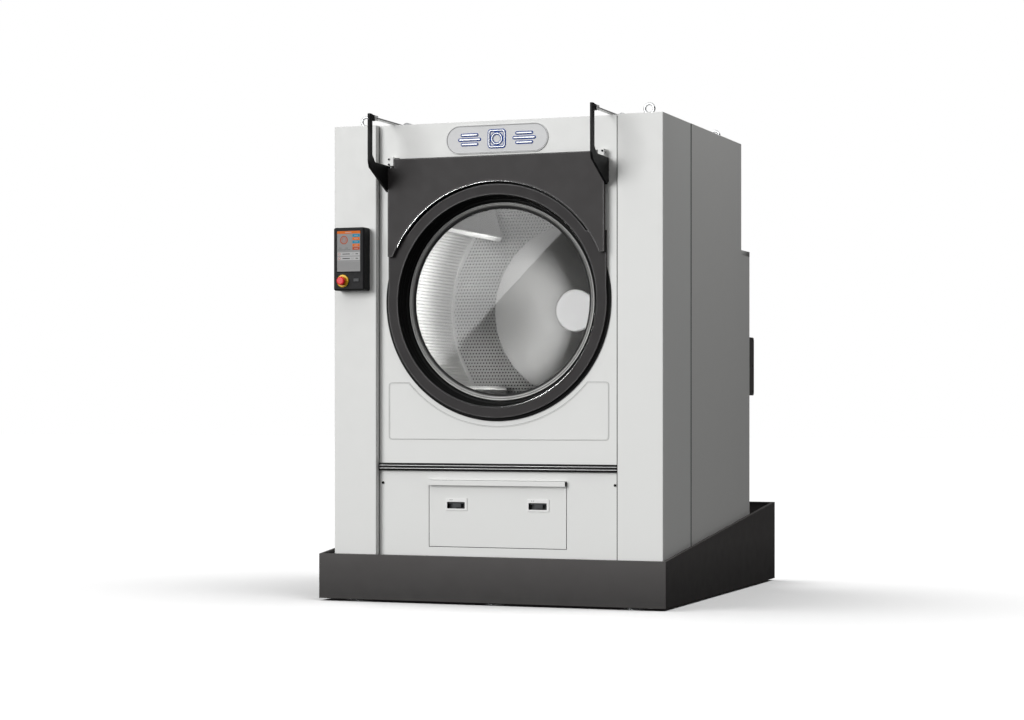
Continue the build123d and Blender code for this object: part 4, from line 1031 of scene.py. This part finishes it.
def make_floor():
    reach = 60.0
    corners = [(-reach, -reach, 0), (reach, -reach, 0), (reach, reach, 0), (-reach, reach, 0)]
    look = powder_coat("studio_floor", rgb(0.90, 0.90, 0.90), 0.6, 0.002, 0.00001)
    floor = mesh_object("floor", corners, [(0, 1, 2, 3)], look)
    floor.visible_diffuse = False
    floor.visible_glossy = False
    return floor


def make_world():
    """White to the camera, and a faint white fill for everything else."""
    world = bpy.data.worlds.new("studio")
    world.use_nodes = True
    tree = world.node_tree
    tree.nodes.clear()
    output = tree.nodes.new("ShaderNodeOutputWorld")
    path = tree.nodes.new("ShaderNodeLightPath")
    mix = tree.nodes.new("ShaderNodeMixShader")
    tree.links.new(path.outputs["Is Camera Ray"], mix.inputs[0])
    for socket, strength in ((1, 0.08), (2, 1.0)):
        white = tree.nodes.new("ShaderNodeBackground")
        white.inputs[0].default_value = (1, 1, 1, 1)
        white.inputs[1].default_value = strength
        tree.links.new(white.outputs[0], mix.inputs[socket])
    tree.links.new(mix.outputs[0], output.inputs[0])
    bpy.context.scene.world = world


def make_lights(floor):
    """The floor, the body, the drum and the bright lips have lamps of their own. The glass has only its
    glare, so that the wide lamps don't veil it."""
    pieces = [thing for thing in bpy.data.objects if thing.type == "MESH" and thing is not floor]

    def named(*starts):
        return [thing for thing in pieces if thing.name.startswith(starts)]

    panes, arch, ring = named("door_glass"), named("arch_lip"), named("ring_lip")
    drum, disc, hub = named("drum_", "hub_cap"), named("drum_disc"), named("hub_cap")
    shell = [thing for thing in drum if thing not in disc]
    body = [thing for thing in pieces if thing not in panes + arch + ring]
    cabinet = [thing for thing in body if thing not in drum]

    only(sunlight("floor_light_left", (0.5, -0.03, -1.0), 2.2, 45), [floor])
    only(sunlight("floor_light_right", (-0.5, -0.03, -1.0), 2.2, 45), [floor])
    only(sunlight("top_light", (0.05, 0.22, -1.0), 1.7, 100), body)
    only(sunlight("key_light", (0.50, 0.94, -0.28), 2.15, 34), cabinet)
    only(softbox("right_top", (2.5, 0.0, 4.0), (0.95, 0.0, 1.9), (1.2, 1.2), 10), body)
    only(softbox("low_front", (2.2, -5.0, 0.35), (0.0, -0.9, 1.6), (2.5, 0.5), 8), body)
    only(softbox("right_strip", (6.0, -3.2, 1.6), (0.9, 0.0, 1.3), (0.8, 4.0), 14), body)
    only(softbox("glass_glare", (-4.36, -10.0, 2.85), (-4.36, 0.0, 2.85), (2.4, 2.4), 42, 45), panes)
    only(softbox("arch_glint", (0.8, -2.0, 0.05), (0.2, -1.0, 2.0), (5.0, 0.4), 260), arch)
    only(softbox("ring_glint", (-4.2, -2.9, 4.9), (0.1, -0.95, 1.1), (1.4, 1.4), 420), ring)
    only(softbox("drum_low", (2.2, -5.0, 0.35), (0.0, -0.9, 1.6), (2.5, 0.5), 50), shell)
    only(softbox("drum_high", (1.6, -4.2, 3.4), (0.0, 0.2, 1.3), (1.6, 1.6), 44), shell)
    only(sunlight("disc_light", (-0.50, 1.0, 0.0), 16.0, 9), disc)
    only(sunlight("hub_light", (-0.10, 1.0, -0.05), 3.0, 10), hub)


def make_camera():
    """From the front right, level, with the verticals kept upright by the shift."""
    data = bpy.data.cameras.new("camera")
    data.lens = 80.45
    data.sensor_width = 36.0
    data.shift_y = 0.0464
    data.clip_end = 200.0
    camera = added("camera", data)
    camera.location = (4.2046, -11.931, 1.0062)
    camera.rotation_euler = (math.radians(90), 0, math.radians(20.603))
    bpy.context.scene.camera = camera


def make_stage():
    floor = make_floor()
    make_world()
    make_lights(floor)
    make_camera()
    view = bpy.context.scene.view_settings
    view.view_transform = "Standard"
    view.look = "None"


dress_nodes()
make_drum_sheets()
make_drum_ends()
make_door()
make_badge()
make_display()
make_screws()
make_outline()
make_gaskets()
make_beads()
make_pull_ends()
make_latches()
make_clevises()
make_stage()
